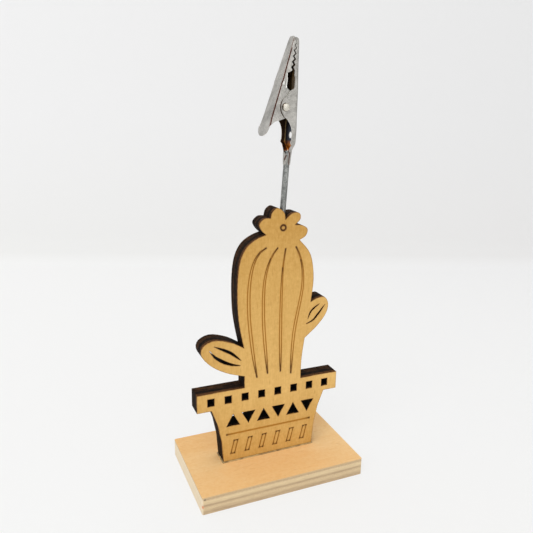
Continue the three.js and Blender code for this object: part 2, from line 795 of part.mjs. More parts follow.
// Lever jaw: flat thumb tab with a round end, cheeks about the pivot, shoulder, teeth and nose.
function leverJaw() {
  const facing = -1;
  const tabLength = THUMB_HEIGHT - THUMB_END;
  const tab = [0.03, 0.12, 0.3, 0.55, 0.8, 1].map((t) => {
    const z = THUMB_END + t * tabLength;
    return flatSection({ z, half: THUMB_HALF * Math.sqrt(1 - (1 - t) ** 2), back: leverBack(z), facing });
  });

  // heights over the thumb tab, and how deep the cheeks hang there below the lever's back
  const sweep = [
    [0.3, METAL + 2 * CHEEK_LEAST],
    [0.8, 0.8],
    [1.3, 1.25],
    [1.7, 1.7],
    [1.95, 2.3],
    [2.2, 3.1],
    [2.5, 3.9],
    [2.9, 4.65],
  ].map(([rise, depth]) => [THUMB_HEIGHT + rise, leverBack(THUMB_HEIGHT + rise) + depth]);

  // heights over the pivot, and how far the cheeks reach past it there
  const hub = [
    [-3, 0.4],
    [-2.6, 1.1],
    [-1.9, 1.85],
    [-1, 2.4],
    [0, 2.6],
    [1.6, 2.4],
    [3.1, 1.85],
  ].map(([rise, reach]) => [PIVOT_HEIGHT + rise, PIVOT_SIDE + reach]);

  const edges = [
    ...sweep,
    ...hub,
    [EAR_TOP, -2.15],
    [EAR_TOP + 0.85, -3.3],
    [NECK_HEIGHT, -3.35],
    [SHOULDER_HEIGHT, -3.4],
    [MOUTH_HEIGHT - 1, -3.4],
    [MOUTH_HEIGHT - 0.35, -2.15],
    ...toothEdges(facing),
    [LEVER_TIP - 1, biteSide(LEVER_TIP) - 0.64],
    [LEVER_TIP - 0.45, biteSide(LEVER_TIP) - 0.66],
  ];
  const body = jawSections(edges, leverHalf, leverBack, facing);
  body.push(
    channelSection({
      z: LEVER_TIP,
      half: leverHalf(LEVER_TIP),
      back: leverBack(LEVER_TIP),
      edge: biteSide(LEVER_TIP) - 0.66,
      facing,
    })
  );
  const pivot = crossPin(RIVET / 2 + RIVET_PLAY, PIVOT_HEIGHT, PIVOT_SIDE);
  return cut(stamped([...tab, ...body], facing), [pivot]);
}

// Rivet with a domed head outside each ear.
function pivotRivet() {
  const seat = earHalf(PIVOT_HEIGHT) + RIVET_HEAD_GAP;
  const profile = [new THREE.Vector2(0, -seat - RIVET_HEAD_HEIGHT)];
  const domeSteps = 5;
  const dome = (i) => {
    const angle = (i / domeSteps) * (Math.PI / 2);
    return [(RIVET_HEAD / 2) * Math.sin(angle), RIVET_HEAD_HEIGHT * Math.cos(angle)];
  };
  for (let i = 1; i <= domeSteps; i++) {
    const [radius, rise] = dome(i);
    profile.push(new THREE.Vector2(radius, -seat - rise));
  }
  profile.push(new THREE.Vector2(RIVET / 2, -seat), new THREE.Vector2(RIVET / 2, seat));
  for (let i = domeSteps; i >= 1; i--) {
    const [radius, rise] = dome(i);
    profile.push(new THREE.Vector2(radius, seat + rise));
  }
  profile.push(new THREE.Vector2(0, seat + RIVET_HEAD_HEIGHT));
  const geometry = new THREE.LatheGeometry(profile, 20);
  geometry.translate(PIVOT_SIDE, 0, PIVOT_HEIGHT);
  return geometry;
}

// Points along the torsion spring: up the fixed jaw's back, round the rivet and down to the
// lever's back. Each leg leaves the coil along its tangent.
function springRoute() {
  const radius = RIVET / 2 + SPRING_PLAY + SPRING_WIRE / 2;
  const seat = METAL + SPRING_WIRE / 2 + SPRING_SEAT_GAP;
  const fixedFoot = [fixedBack(FIXED_LEG_HEIGHT) - seat, FIXED_LEG_HEIGHT];
  const leverFoot = [leverBack(LEVER_LEG_HEIGHT) + seat, LEVER_LEG_HEIGHT];
  const tangentAngle = ([x, z], turn) => {
    const dx = x - PIVOT_SIDE;
    const dz = z - PIVOT_HEIGHT;
    return Math.atan2(dz, dx) + turn * Math.acos(radius / Math.hypot(dx, dz));
  };
  const start = tangentAngle(fixedFoot, 1);
  let end = tangentAngle(leverFoot, -1);
  while (end < start) end += 2 * Math.PI;
  end += 2 * Math.PI * SPRING_TURNS;
  const turns = (end - start) / (2 * Math.PI);
  const edge = (turns * SPRING_PITCH) / 2;
  const steps = Math.round(turns * 8);
  const points = [new THREE.Vector3(fixedFoot[0], -edge, fixedFoot[1])];
  for (let i = 0; i <= steps; i++) {
    const angle = start + ((end - start) * i) / steps;
    points.push(
      new THREE.Vector3(
        PIVOT_SIDE + radius * Math.cos(angle),
        -edge + (2 * edge * i) / steps,
        PIVOT_HEIGHT + radius * Math.sin(angle)
      )
    );
  }
  points.push(new THREE.Vector3(leverFoot[0], edge, leverFoot[1]));
  return points;
}

// A round wire of few sides along a route of points.
function wireAlong(points, diameter, sides) {
  const positions = [];
  const index = [];
  let normal = new THREE.Vector3(0, 1, 0);
  points.forEach((point, i) => {
    const before = points[Math.max(i - 1, 0)];
    const after = points[Math.min(i + 1, points.length - 1)];
    const along = after.clone().sub(before).normalize();
    normal.addScaledVector(along, -normal.dot(along)).normalize();
    const side = along.clone().cross(normal);
    for (let k = 0; k < sides; k++) {
      const angle = (k / sides) * Math.PI * 2;
      const spoke = point
        .clone()
        .addScaledVector(normal, (Math.cos(angle) * diameter) / 2)
        .addScaledVector(side, (Math.sin(angle) * diameter) / 2);
      positions.push(spoke.x, spoke.y, spoke.z);
    }
  });
  for (let i = 0; i < points.length - 1; i++) {
    for (let k = 0; k < sides; k++) {
      const a = i * sides + k;
      const b = i * sides + ((k + 1) % sides);
      index.push(a, b, b + sides, a, b + sides, a + sides);
    }
  }
  const last = (points.length - 1) * sides;
  for (let k = 1; k < sides - 1; k++) {
    index.push(0, k + 1, k, last, last + k, last + k + 1);
  }
  const geometry = new THREE.BufferGeometry();
  geometry.setAttribute("position", new THREE.Float32BufferAttribute(positions, 3));
  geometry.setIndex(index);
  geometry.computeVertexNormals();
  return geometry;
}

// Least gap between stretches of the wire that lie at least half a turn apart.
function leastGap(points, diameter) {
  const fine = [];
  const parts = 6;
  for (let i = 0; i < points.length - 1; i++) {
    for (let k = 0; k < parts; k++) fine.push(points[i].clone().lerp(points[i + 1], k / parts));
  }
  const apart = 4 * parts;
  let least = Infinity;
  for (let i = 0; i < fine.length; i++) {
    for (let k = i + apart; k < fine.length; k++) least = Math.min(least, fine[i].distanceTo(fine[k]));
  }
  return least - diameter;
}

function torsionSpring() {
  const route = springRoute();
  console.log(`torsion spring: least gap to itself ${leastGap(route, SPRING_WIRE).toFixed(2)} mm`);
  return wireAlong(route, SPRING_WIRE, 5);
}

function clip() {
  const group = new THREE.Group();
  group.add(
    named("fixed_jaw", fixedJaw(), FINISH.clip),
    named("lever_jaw", leverJaw(), FINISH.clip),
    named("pivot_rivet", pivotRivet(), FINISH.clip),
    named("torsion_spring", torsionSpring(), FINISH.spring)
  );
  group.position.z = WIRE_SHOWN;
  return group;
}

const holder = new THREE.Group();
const panel = cactusPanel();
const leaning = new THREE.Group();
stemPose().decompose(leaning.position, leaning.quaternion, leaning.scale);
leaning.add(...stem(), clip());
panel.add(leaning);
holder.add(baseBoard(), footGlue(), panel);

export default holder;
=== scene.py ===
"""Looks of the photo clip holder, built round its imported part.

A laser-cut plywood cactus in a patterned pot stands on a plywood base. A steel wire leans out of
its flower and carries a spring clip. The classes hold their sizes in millimetres, and a mesh gets
them in metres.
"""

import logging
import math
from collections.abc import Callable
from dataclasses import dataclass, replace
from enum import Enum, IntEnum

import bmesh
import bpy
import numpy as np
from mathutils import Matrix, Vector


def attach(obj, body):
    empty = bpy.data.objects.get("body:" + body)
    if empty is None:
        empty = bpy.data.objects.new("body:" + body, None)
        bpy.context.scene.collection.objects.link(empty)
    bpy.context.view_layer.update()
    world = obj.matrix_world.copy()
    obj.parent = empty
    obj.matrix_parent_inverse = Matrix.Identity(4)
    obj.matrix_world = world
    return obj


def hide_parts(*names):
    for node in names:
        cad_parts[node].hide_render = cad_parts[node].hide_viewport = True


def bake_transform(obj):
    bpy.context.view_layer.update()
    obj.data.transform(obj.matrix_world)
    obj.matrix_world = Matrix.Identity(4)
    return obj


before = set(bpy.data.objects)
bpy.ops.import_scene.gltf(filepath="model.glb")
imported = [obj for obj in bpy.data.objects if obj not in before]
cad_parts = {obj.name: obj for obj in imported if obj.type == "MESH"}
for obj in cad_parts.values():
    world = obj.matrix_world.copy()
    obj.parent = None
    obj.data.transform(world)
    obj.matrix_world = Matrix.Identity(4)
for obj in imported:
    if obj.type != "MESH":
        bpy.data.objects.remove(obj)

MM = 0.001
# Farthest apart, in millimetres, that two vertices may lie and be taken for one.
SAME_SPOT = 0.002
LOG = logging.getLogger("photo_clip_holder")

Socket = bpy.types.NodeSocket
Piece = bpy.types.Object
Element = bmesh.types.BMVert | bmesh.types.BMEdge | bmesh.types.BMFace


# Colours and node trees


@dataclass(frozen=True)
class Tint:
    """A colour as a screen shows it, each part from 0 to 255."""

    red: float
    green: float
    blue: float

    def linear(self) -> tuple[float, float, float, float]:
        """Gives the colour that a shader socket takes."""
        parts = [value / 255 for value in (self.red, self.green, self.blue)]
        curved = [p / 12.92 if p <= 0.04045 else ((p + 0.055) / 1.055) ** 2.4 for p in parts]
        return (*curved, 1.0)


class NodeTree:
    """A tree of shader nodes while it is put together."""

    def __init__(self, tree: bpy.types.NodeTree) -> None:
        """Empties the tree of a material or a world."""
        self.tree = tree
        self.tree.nodes.clear()

    def node(self, kind: str, inputs: dict | None = None, **settings: object) -> bpy.types.Node:
        """Adds one node.

        Args:
            kind: the node's type, without its ShaderNode prefix.
            inputs: a value or another node's output for each input, by name or number.
            settings: the node's own properties.

        Returns:
            The node.
        """
        made = self.tree.nodes.new("ShaderNode" + kind)
        for key, value in settings.items():
            setattr(made, key, value)
        for key, value in (inputs or {}).items():
            self.feed(made.inputs[key], value)
        return made

    def feed(self, socket: Socket, value: object) -> None:
        """Sets a socket to a plain value, or links an output to it."""
        if isinstance(value, bpy.types.NodeSocket):
            self.tree.links.new(value, socket)
        elif isinstance(value, Tint):
            socket.default_value = value.linear()
        else:
            socket.default_value = value


class Recipe(NodeTree):
    """A material while its nodes are put together."""

    def __init__(self, name: str) -> None:
        """Starts a material of this name with an empty tree."""
        self.material = bpy.data.materials.new(name)
        self.material.use_nodes = True
        super().__init__(self.material.node_tree)

    def place(self, *per_mm: float) -> Socket:
        """Gives object coordinates, with so many pattern units to a millimetre on each axis."""
        where = self.node("TexCoord").outputs["Object"]
        scale = tuple(rate / MM for rate in per_mm)
        return self.node("Mapping", {"Vector": where, "Scale": scale}).outputs["Vector"]

    def part(self, vector: Socket, axis: str) -> Socket:
        """Gives a vector's part along X, Y or Z."""
        return self.node("SeparateXYZ", {0: vector}).outputs[axis]

    def facing(self, axis: str) -> Socket:
        """Gives the part along X, Y or Z of the way that the surface faces."""
        return self.part(self.node("NewGeometry").outputs["Normal"], axis)

    def noise(
        self, vector: Socket, detail: float = 2.0, rough: float = 0.5, twist: float = 0.0
    ) -> Socket:
        """Gives a noise from 0 to 1 whose grains are one unit of the vector across."""
        inputs = {"Vector": vector, "Scale": 1.0, "Detail": detail, "Roughness": rough}
        return self.node("TexNoise", {**inputs, "Distortion": twist}).outputs["Fac"]

    def steps(self, value: Socket, stops: list[tuple[float, float]]) -> Socket:
        """Turns a value into another one through a ramp of plain numbers.

        Args:
            value: the value that is read.
            stops: pairs of position and result, in order.

        Returns:
            The result.
        """
        ramp = self.node("ValToRGB", {"Fac": value})
        marks = ramp.color_ramp.elements
        while len(marks) < len(stops):
            marks.new(0.5)
        for mark, (position, result) in zip(marks, stops):
            mark.position = position
            mark.color = (result, result, result, 1.0)
        return ramp.outputs["Color"]

    def slope(self, value: Socket, start: float, end: float) -> Socket:
        """Gives 0 where a value is at its start, 1 at its end, and an even slope between."""
        inputs = {"Value": value, "From Min": start, "From Max": end}
        return self.node("MapRange", inputs).outputs[0]

    def between(self, share: object, low: object, high: object) -> Socket:
        """Mixes two colours by a share from 0 to 1."""
        mix = self.node("Mix", data_type="RGBA")
        self.feed(mix.inputs[0], share)
        self.feed(mix.inputs[6], low)
        self.feed(mix.inputs[7], high)
        return mix.outputs[2]

    def calc(self, operation: str, first: object, second: object = 0.0) -> Socket:
        """Gives the result of one arithmetic operation on one or two values."""
        return self.node("Math", {0: first, 1: second}, operation=operation).outputs[0]

    def weigh(self, *parts: tuple[Socket, float]) -> Socket:
        """Adds up values, each one times its weight."""
        total, *others = [self.calc("MULTIPLY", value, weight) for value, weight in parts]
        for other in others:
            total = self.calc("ADD", total, other)
        return total

    def vector(self, operation: str, first: object, second: object = (0, 0, 0)) -> Socket:
        """Gives the result of one operation on one or two vectors, a vector or a number."""
        made = self.node("VectorMath", {0: first, 1: second}, operation=operation)
        return made.outputs["Value" if operation in ("DOT_PRODUCT", "DISTANCE") else "Vector"]

    def mark(self, name: str) -> Socket:
        """Reads a number that the piece's mesh carries."""
        return self.node("Attribute", attribute_name=name).outputs["Fac"]

    def relief(self, height: Socket, depth_mm: float, strength: float = 1.0) -> Socket:
        """Gives a normal bent by a height of so many millimetres."""
        inputs = {"Height": height, "Distance": depth_mm * MM, "Strength": strength}
        return self.node("Bump", inputs).outputs["Normal"]

    def end(self, shader: Socket) -> bpy.types.Material:
        """Ends the tree in a shader and gives the material."""
        self.node("OutputMaterial", {"Surface": shader})
        return self.material

    def finish(self, **inputs: object) -> bpy.types.Material:
        """Ends the tree in a Principled shader.

        Args:
            inputs: the shader's inputs, with underscores for the spaces in their names.

        Returns:
            The material.
        """
        named = {key.replace("_", " "): value for key, value in inputs.items()}
        return self.end(self.node("BsdfPrincipled", named).outputs[0])


# Finishes


class Fibres(Enum):
    """The way that a ply's fibres run."""

    WIDTH = (0.12, 1.0, 1.0)
    DEPTH = (1.0, 0.12, 1.0)
    HEIGHT = (1.0, 1.0, 0.12)

    def rates(self, per_mm: float) -> tuple[float, float, float]:
        """Gives pattern units to a millimetre on each axis, few of them along the fibres."""
        return tuple(per_mm * share for share in self.value)


@dataclass(frozen=True)
class Veneer:
    """Sanded birch veneer: fine fibres, short pores and slow blotches.

    The tones say how much darker it is at heights in millimetres, the fade how much paler it
    gets for each 100 mm to the right. The edge is its tint where it is sawn.
    """

    name: str
    fibres: Fibres
    pale: Tint = Tint(232, 190, 116)
    warm: Tint = Tint(182, 134, 58)
    pore: Tint = Tint(160, 112, 54)
    laser_cut: bool = False
    tones: tuple[tuple[float, float], ...] = ((0, 0), (100, 0))
    fade: float = 0.0
    edge: Tint | None = None
    scorched: Tint = Tint(104, 54, 20)
    line: Tint = Tint(194, 136, 50)
    scar: Tint = Tint(58, 24, 10)

    def wood(self, recipe: Recipe) -> tuple[Socket, Socket]:
        """Adds the wood's own pattern.

        Args:
            recipe: the material that gets it.

        Returns:
            The colour and the height of the grain.
        """
        slow = recipe.noise(recipe.place(*self.fibres.rates(0.09)), 3.0, 0.6, 0.4)
        fine = recipe.noise(recipe.place(*self.fibres.rates(2.6)), 3.0, 0.65)
        mottle = recipe.noise(recipe.place(0.9, 0.9, 0.9), 3.0, 0.6, 0.3)
        dots = recipe.noise(recipe.place(*self.fibres.rates(2.3)), 1.0, 0.5)
        where = recipe.place(0.01, 0.01, 0.01)
        tones = [(height / 100, 0.5 + darker) for height, darker in self.tones]
        by_height = recipe.steps(recipe.part(where, "Z"), tones)
        grain = ((fine, 0.35), (mottle, 0.4), (slow, 0.5))
        tone = recipe.weigh(*grain, (by_height, 1.0), (recipe.part(where, "X"), -self.fade))
        colour = recipe.between(recipe.slope(tone, 0.65, 1.45), self.pale, self.warm)
        pores = recipe.steps(dots, [(0.66, 0.0), (0.76, 0.4)])
        colour = recipe.between(pores, colour, self.pore)
        if self.edge:
            upright = recipe.calc("ABSOLUTE", recipe.facing("Z"))
            colour = recipe.between(upright, self.edge, colour)
        return colour, fine

    def burn(self, recipe: Recipe, colour: Socket) -> Socket:
        """Adds what the laser leaves: a brown fringe along the cut and golden engraved lines."""
        patches = recipe.noise(recipe.place(0.7, 0.7, 0.7), 3.0, 0.6)
        uneven = recipe.steps(patches, [(0.3, 0.5), (0.6, 1.0)])
        fringe = recipe.calc("MULTIPLY", recipe.mark("scorch"), uneven)
        shown = recipe.steps(fringe, [(0.15, 0.0), (0.95, 0.8)])
        toasted = recipe.between(shown, colour, self.scorched)
        line = recipe.between(recipe.mark("burn"), self.line, self.scar)
        return recipe.between(recipe.mark("engraved"), toasted, line)

    def material(self) -> bpy.types.Material:
        """Makes the material."""
        recipe = Recipe(self.name)
        colour, grain = self.wood(recipe)
        if self.laser_cut:
            colour = self.burn(recipe, colour)
        return recipe.finish(
            Base_Color=colour,
            Roughness=0.62,
            Specular_IOR_Level=0.25,
            Normal=recipe.relief(grain, 0.03, 0.5),
        )


@dataclass(frozen=True)
class SawnPly:
    """Sawn edge of a ply: darker glue lines on the long sides, paler on the short ones.

    The lines say how dark the wood is at heights in millimetres, and they wander up and down by
    so many centimetres. A knot has a middle, a reach and a tint. The short sides are pale partly
    as the wood and partly as painted light, as the left side is lit.
    """

    name: str
    fibres: Fibres
    light: Tint = Tint(228, 205, 163)
    dark: Tint = Tint(176, 150, 120)
    ends: Tint = Tint(236, 219, 190)
    wander: float = 0.06
    lines: tuple[tuple[float, float], ...] = (
        (0.2, 0.75), (0.8, 0.9), (2.1, 0.25), (2.7, 0.4), (3.15, 0.95), (3.4, 0.9), (3.8, 0.35),
        (4.6, 0.0), (5.1, 0.15), (5.6, 0.8), (5.85, 0.8), (6.1, 0.5),
    )
    knots: tuple[tuple[tuple[float, float, float], float, Tint], ...] = (
        ((-29.1, -18.5, 5.6), 0.5, Tint(96, 84, 70)),
        ((-30.0, -18.4, 2.9), 0.8, Tint(218, 128, 82)),
    )

    def material(self) -> bpy.types.Material:
        """Makes the material."""
        recipe = Recipe(self.name)
        streaks = recipe.noise(recipe.place(*self.fibres.rates(2.2)), 4.0, 0.7, 0.3)
        waves = recipe.noise(recipe.place(0.12, 0.12, 0.3), 2.0, 0.5)
        height = recipe.part(recipe.place(0.1, 0.1, 0.1), "Z")
        shifted = recipe.weigh((height, 1.0), (waves, self.wander))
        lines = [(place / 10 + self.wander / 2, share) for place, share in self.lines]
        tone = recipe.weigh((recipe.steps(shifted, lines), 0.7), (streaks, 1.0))
        share = recipe.slope(tone, 0.38, 1.3)
        side = recipe.between(share, self.light, self.dark)
        end = recipe.between(recipe.calc("MULTIPLY", share, 0.12), self.ends, self.dark)
        # The short sides, facing X, get the pale tint: partly the wood and partly painted light.
        colour = recipe.between(recipe.calc("ABSOLUTE", recipe.facing("X")), side, end)
        for middle, reach, tint in self.knots:
            apart = recipe.vector("DISTANCE", recipe.place(1, 1, 1), middle)
            near = recipe.slope(apart, reach, 0.3 * reach)
            colour = recipe.between(recipe.calc("MULTIPLY", near, 0.8), colour, tint)
        return recipe.finish(
            Base_Color=colour,
            Roughness=0.78,
            Specular_IOR_Level=0.2,
            Normal=recipe.relief(streaks, 0.06, 0.7),
        )


@dataclass(frozen=True)
class Char:
    """Edge burnt by the laser: sooty bands along the sheet, brown where less wood was burnt.

    The share is how much of it is brown, and faces that point up are browner by so much. The
    windows are places with holes and slots, whose walls are darkened by so much as painted shade:
    each one gives its middle's x and z, and how far it reaches to each side and up and down.
    """

    name: str
    soot: Tint = Tint(12, 8, 6)
    brown: Tint = Tint(84, 54, 30)
    share: float = 0.5
    upward_brown: float = 0.03
    window_shade: float = 0.16
    windows: tuple[tuple[float, float, float, float], ...] = (
        (0.0, 30.5, 24.0, 2.2),
        (0.6, 22.3, 17.6, 3.0),
        (-16.5, 46.7, 5.8, 4.3),
        (17.2, 58.0, 3.8, 3.6),
    )

    def in_windows(self, recipe: Recipe) -> Socket:
        """Gives 1 at the places with holes and slots, and 0 elsewhere."""
        inside = 0.0
        for x, z, across, up in self.windows:
            middle = recipe.vector("SUBTRACT", recipe.place(1, 1, 1), (x, 0, z))
            scaled = recipe.vector("MULTIPLY", middle, (1 / across, 0, 1 / up))
            sides = recipe.vector("ABSOLUTE", scaled)
            farther = recipe.calc("MAXIMUM", recipe.part(sides, "X"), recipe.part(sides, "Z"))
            inside = recipe.calc("MAXIMUM", recipe.calc("LESS_THAN", farther, 1.0), inside)
        return inside

    def material(self) -> bpy.types.Material:
        """Makes the material."""
        recipe = Recipe(self.name)
        layers = recipe.noise(recipe.place(0.12, 2.6, 0.12), 3.0, 0.6)
        patches = recipe.noise(recipe.place(0.5, 1.0, 0.5), 3.0, 0.6, 0.4)
        cuts = recipe.noise(recipe.place(2.4, 0.3, 2.4), 2.0, 0.6)
        upward = recipe.calc("MAXIMUM", recipe.facing("Z"), 0.0)
        burnt = ((layers, 0.5), (patches, 0.35), (cuts, 0.15))
        # Faces that point up turn browner; in the windows the tone drops as painted shade.
        tone = recipe.weigh(*burnt, (upward, self.upward_brown), (self.in_windows(recipe), -self.window_shade))
        # The more of the edge is brown, the lower the tone at which the brown sets in.
        middle = 0.62 - 0.24 * self.share
        share = recipe.steps(tone, [(middle - 0.06, 0.0), (middle + 0.14, 1.0)])
        return recipe.finish(
            Base_Color=recipe.between(share, self.soot, self.brown),
            Roughness=0.85,
            Specular_IOR_Level=0.08,
            Normal=recipe.relief(tone, 0.05, 0.6),
        )


@dataclass(frozen=True)
class Steel:
    """Satin or drawn steel with faint cloudy wear.

    Dark may be painted in a ring, up to so far above the ring's middle, and along seams, each one
    from a start to an end in millimetres: painted shadow in the gap along a jaw's ear and in a
    crimp's seams, and a painted dark reflection on a rivet.
    """

    name: str
    bright: Tint
    dull: Tint
    rough: float = 0.36
    patches_per_mm: float = 0.5
    relief_mm: float = 0.004
    uneven: float = 0.22
    painted_dark: Tint = Tint(66, 44, 36)
    ring_middle: tuple[float, float] = (0, 0)
    ring_reach: float = 0
    ring_width: float = 0.25
    ring_top: float = 2.2
    seams: tuple[tuple[Vector, Vector], ...] = ()
    seam_reach: float = 0.36

    def seam(self, recipe: Recipe, start: Vector, end: Vector) -> Socket:
        """Gives the share of painted dark by the distance from a straight seam.

        Args:
            recipe: the material that gets it.
            start: the seam's one end in millimetres.
            end: its other end.

        Returns:
            The share, 1 on the seam and 0 beside it.
        """
        length = (end - start).length
        way = tuple((end - start) / length)
        local = recipe.vector("SUBTRACT", recipe.place(1, 1, 1), tuple(start))
        along = recipe.vector("DOT_PRODUCT", local, way)
        held = recipe.calc("MINIMUM", recipe.calc("MAXIMUM", along, 0.0), length)
        nearest = recipe.node("VectorMath", {0: way, "Scale": held}, operation="SCALE")
        apart = recipe.vector("DISTANCE", local, nearest.outputs[0])
        return recipe.slope(apart, self.seam_reach, self.seam_reach * 0.4)

    def ring(self, recipe: Recipe) -> Socket:
        """Gives the share of painted dark by the distance from the ring's middle, across the width.
        """
        middle = (self.ring_middle[0], 0, self.ring_middle[1])
        apart = recipe.vector("DISTANCE", recipe.place(1, 0, 1), middle)
        inner, outer = self.ring_reach - self.ring_width, self.ring_reach
        stops = [(inner - 0.15, 0.0), (inner, 1.0), (outer - 0.1, 1.0), (outer, 0.0)]
        stops = [(place / 10, share) for place, share in stops]
        round_it = recipe.steps(recipe.calc("DIVIDE", apart, 10), stops)
        height = recipe.part(recipe.place(1, 1, 1), "Z")
        top = self.ring_middle[1] + self.ring_top
        return recipe.calc("MULTIPLY", round_it, recipe.slope(height, top + 0.5, top - 0.5))

    def material(self) -> bpy.types.Material:
        """Makes the material."""
        recipe = Recipe(self.name)
        clouds = recipe.noise(recipe.place(*[self.patches_per_mm] * 3), 4.0, 0.6, 0.3)
        grains = recipe.noise(recipe.place(2.6, 2.6, 2.6), 3.0, 0.7)
        speckled = recipe.weigh((clouds, 0.45), (grains, 0.55))
        worn = recipe.steps(speckled, [(0.38, 0.0), (0.62, 1.0)])
        colour = recipe.between(worn, self.bright, self.dull)
        if self.ring_reach:
            colour = recipe.between(self.ring(recipe), colour, self.painted_dark)
        for start, end in self.seams:
            colour = recipe.between(self.seam(recipe, start, end), colour, self.painted_dark)
        spread = recipe.calc("MULTIPLY", clouds, self.uneven)
        return recipe.finish(
            Base_Color=colour,
            Metallic=1.0,
            Roughness=recipe.calc("ADD", spread, self.rough - self.uneven / 2),
            Normal=recipe.relief(grains, self.relief_mm, 0.5),
        )


@dataclass(frozen=True)
class ShadedInnerSteel:
    """Unpolished inside of a stamped jaw, painted dark as shade, with light and dark streaks.

    It has another painted tone in the tail, below one height in millimetres, and an amber painted
    reflection of the wood by the crimp, below another.
    """

    name: str
    streak_light: Tint
    streak_dark: Tint
    tail: Tint
    amber_reflection: Tint | None = None
    amber_below: float = 117.3
    tail_below: float = 128.0

    def below(self, recipe: Recipe, level: float, blur: float) -> Socket:
        """Gives 1 under a height and 0 above it, in millimetres."""
        height = recipe.part(recipe.place(1, 1, 1), "Z")
        return recipe.slope(height, level + blur, level - blur)

    def material(self) -> bpy.types.Material:
        """Makes the material."""
        recipe = Recipe(self.name)
        streaks = recipe.noise(recipe.place(1.6, 1.6, 0.25), 3.0, 0.6, 0.3)
        blots = recipe.noise(recipe.place(1.2, 1.2, 0.8), 3.0, 0.6, 0.4)
        share = recipe.steps(streaks, [(0.4, 0.0), (0.6, 1.0)])
        colour = recipe.between(share, self.streak_light, self.streak_dark)
        colour = recipe.between(self.below(recipe, self.tail_below, 1.5), colour, self.tail)
        if self.amber_reflection:
            low = self.below(recipe, self.amber_below, 0.9)
            blotted = recipe.steps(blots, [(0.5, 1.0), (0.66, 0.25)])
            colour = recipe.between(recipe.calc("MULTIPLY", low, blotted), colour, self.amber_reflection)
        return recipe.finish(
            Base_Color=colour,
            Metallic=1.0,
            Roughness=0.42,
            Normal=recipe.relief(streaks, 0.02, 0.5),
        )


@dataclass(frozen=True)
class DriedGlue:
    """Clear wood glue, dried to a pale skin with dust in it."""

    name: str
    skin: Tint = Tint(196, 170, 120)
    dust: Tint = Tint(128, 104, 70)

    def material(self) -> bpy.types.Material:
        """Makes the material."""
        recipe = Recipe(self.name)
        clouds = recipe.noise(recipe.place(0.45, 0.45, 1.5), 3.0, 0.6, 0.5)
        share = recipe.steps(clouds, [(0.38, 0.0), (0.66, 1.0)])
        colour = recipe.between(share, self.skin, self.dust)
        return recipe.finish(
            Base_Color=colour,
            Roughness=0.42,
            Specular_IOR_Level=0.4,
            Normal=recipe.relief(clouds, 0.08, 0.5),
        )


# Hand tools


def deselect() -> None:
    """Leaves nothing selected, in object mode."""
    if bpy.context.mode != "OBJECT":
        bpy.ops.object.mode_set(mode="OBJECT")
    bpy.ops.object.select_all(action="DESELECT")


def take(piece: Piece) -> None:
    """Selects one piece alone and makes it the active one."""
    deselect()
    piece.select_set(True)
    bpy.context.view_layer.objects.active = piece


def new_piece(name: str) -> Piece:
    """Names the primitive that an operator has just added, and gives it back."""
    piece = bpy.context.object
    piece.name = name
    piece.data.name = name
    return piece


def put(name: str, data: bpy.types.ID) -> Piece:
    """Adds an object with this data to the scene."""
    made = bpy.data.objects.new(name, data)
    bpy.context.scene.collection.objects.link(made)
    return made


def edit_all() -> None:
    """Goes into edit mode with all of the active piece selected."""
    bpy.ops.object.mode_set(mode="EDIT")
    bpy.ops.mesh.select_all(action="SELECT")


def end_edit() -> None:
    """Goes back to object mode."""
    bpy.ops.object.mode_set(mode="OBJECT")


def smooth(limit: float = 40.0) -> None:
    """Shades the active piece smooth, apart from edges of more than so many degrees."""
    bpy.ops.object.shade_smooth_by_angle(angle=math.radians(limit))


def merged_copy(node: str, name: str) -> Piece:
    """Copies a CAD node as a new piece and joins its loose triangles.

    Args:
        node: the CAD node.
        name: name of the new piece.

    Returns:
        The new piece.
    """
    piece = put(name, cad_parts[node].data.copy())
    piece.data.name = name
    take(piece)
    bpy.ops.mesh.customdata_custom_splitnormals_clear()
    edit_all()
    bpy.ops.mesh.remove_doubles(threshold=SAME_SPOT * MM)
    end_edit()
    return piece


def select_where(piece: Piece, mode: str, test: Callable[[Element], bool]) -> None:
    """Selects in edit mode the vertices, edges or faces that pass a test.

    Args:
        piece: the active piece.
        mode: VERT, EDGE or FACE.
        test: takes the element of the edit mesh and says whether it is wanted.
    """
    bpy.ops.object.mode_set(mode="EDIT")
    bpy.ops.mesh.select_mode(type=mode)
    bpy.ops.mesh.select_all(action="DESELECT")
    edit = bmesh.from_edit_mesh(piece.data)
    for element in {"VERT": edit.verts, "EDGE": edit.edges, "FACE": edit.faces}[mode]:
        if test(element):
            element.select_set(True)
    edit.select_flush_mode()
    bmesh.update_edit_mesh(piece.data)


def cut_across(axis: int, level: float, place: Matrix) -> None:
    """Cuts all of the piece in edit mode along a plane square to one axis of a frame.

    Args:
        axis: 0, 1 or 2 for the frame's X, Y or Z.
        level: where the plane crosses that axis, in metres.
        place: the frame's place and turn.
    """
    spot, normal = Vector((0, 0, 0)), Vector((0, 0, 0))
    spot[axis] = level
    normal[axis] = 1
    bpy.ops.mesh.select_all(action="SELECT")
    bpy.ops.mesh.bisect(plane_co=place @ spot, plane_no=place.to_3x3() @ normal)


def round_edges(width_mm: float, segments: int) -> None:
    """Rounds the selected edges in edit mode."""
    bpy.ops.mesh.bevel(offset=width_mm * MM, segments=segments, affect="EDGES")


def extrude(*way_mm: float) -> None:
    """Extrudes the selection in edit mode and moves it so many millimetres along each axis."""
    way = tuple(step * MM for step in way_mm)
    bpy.ops.mesh.extrude_region_move(TRANSFORM_OT_translate={"value": way})


def apply_place(piece: Piece) -> None:
    """Puts the piece's place, turn and scale into its mesh."""
    take(piece)
    bpy.ops.object.transform_apply(location=True, rotation=True, scale=True)


def apply_modifiers(piece: Piece) -> None:
    """Applies the piece's modifiers in their order."""
    take(piece)
    for modifier in list(piece.modifiers):
        bpy.ops.object.modifier_apply(modifier=modifier.name)


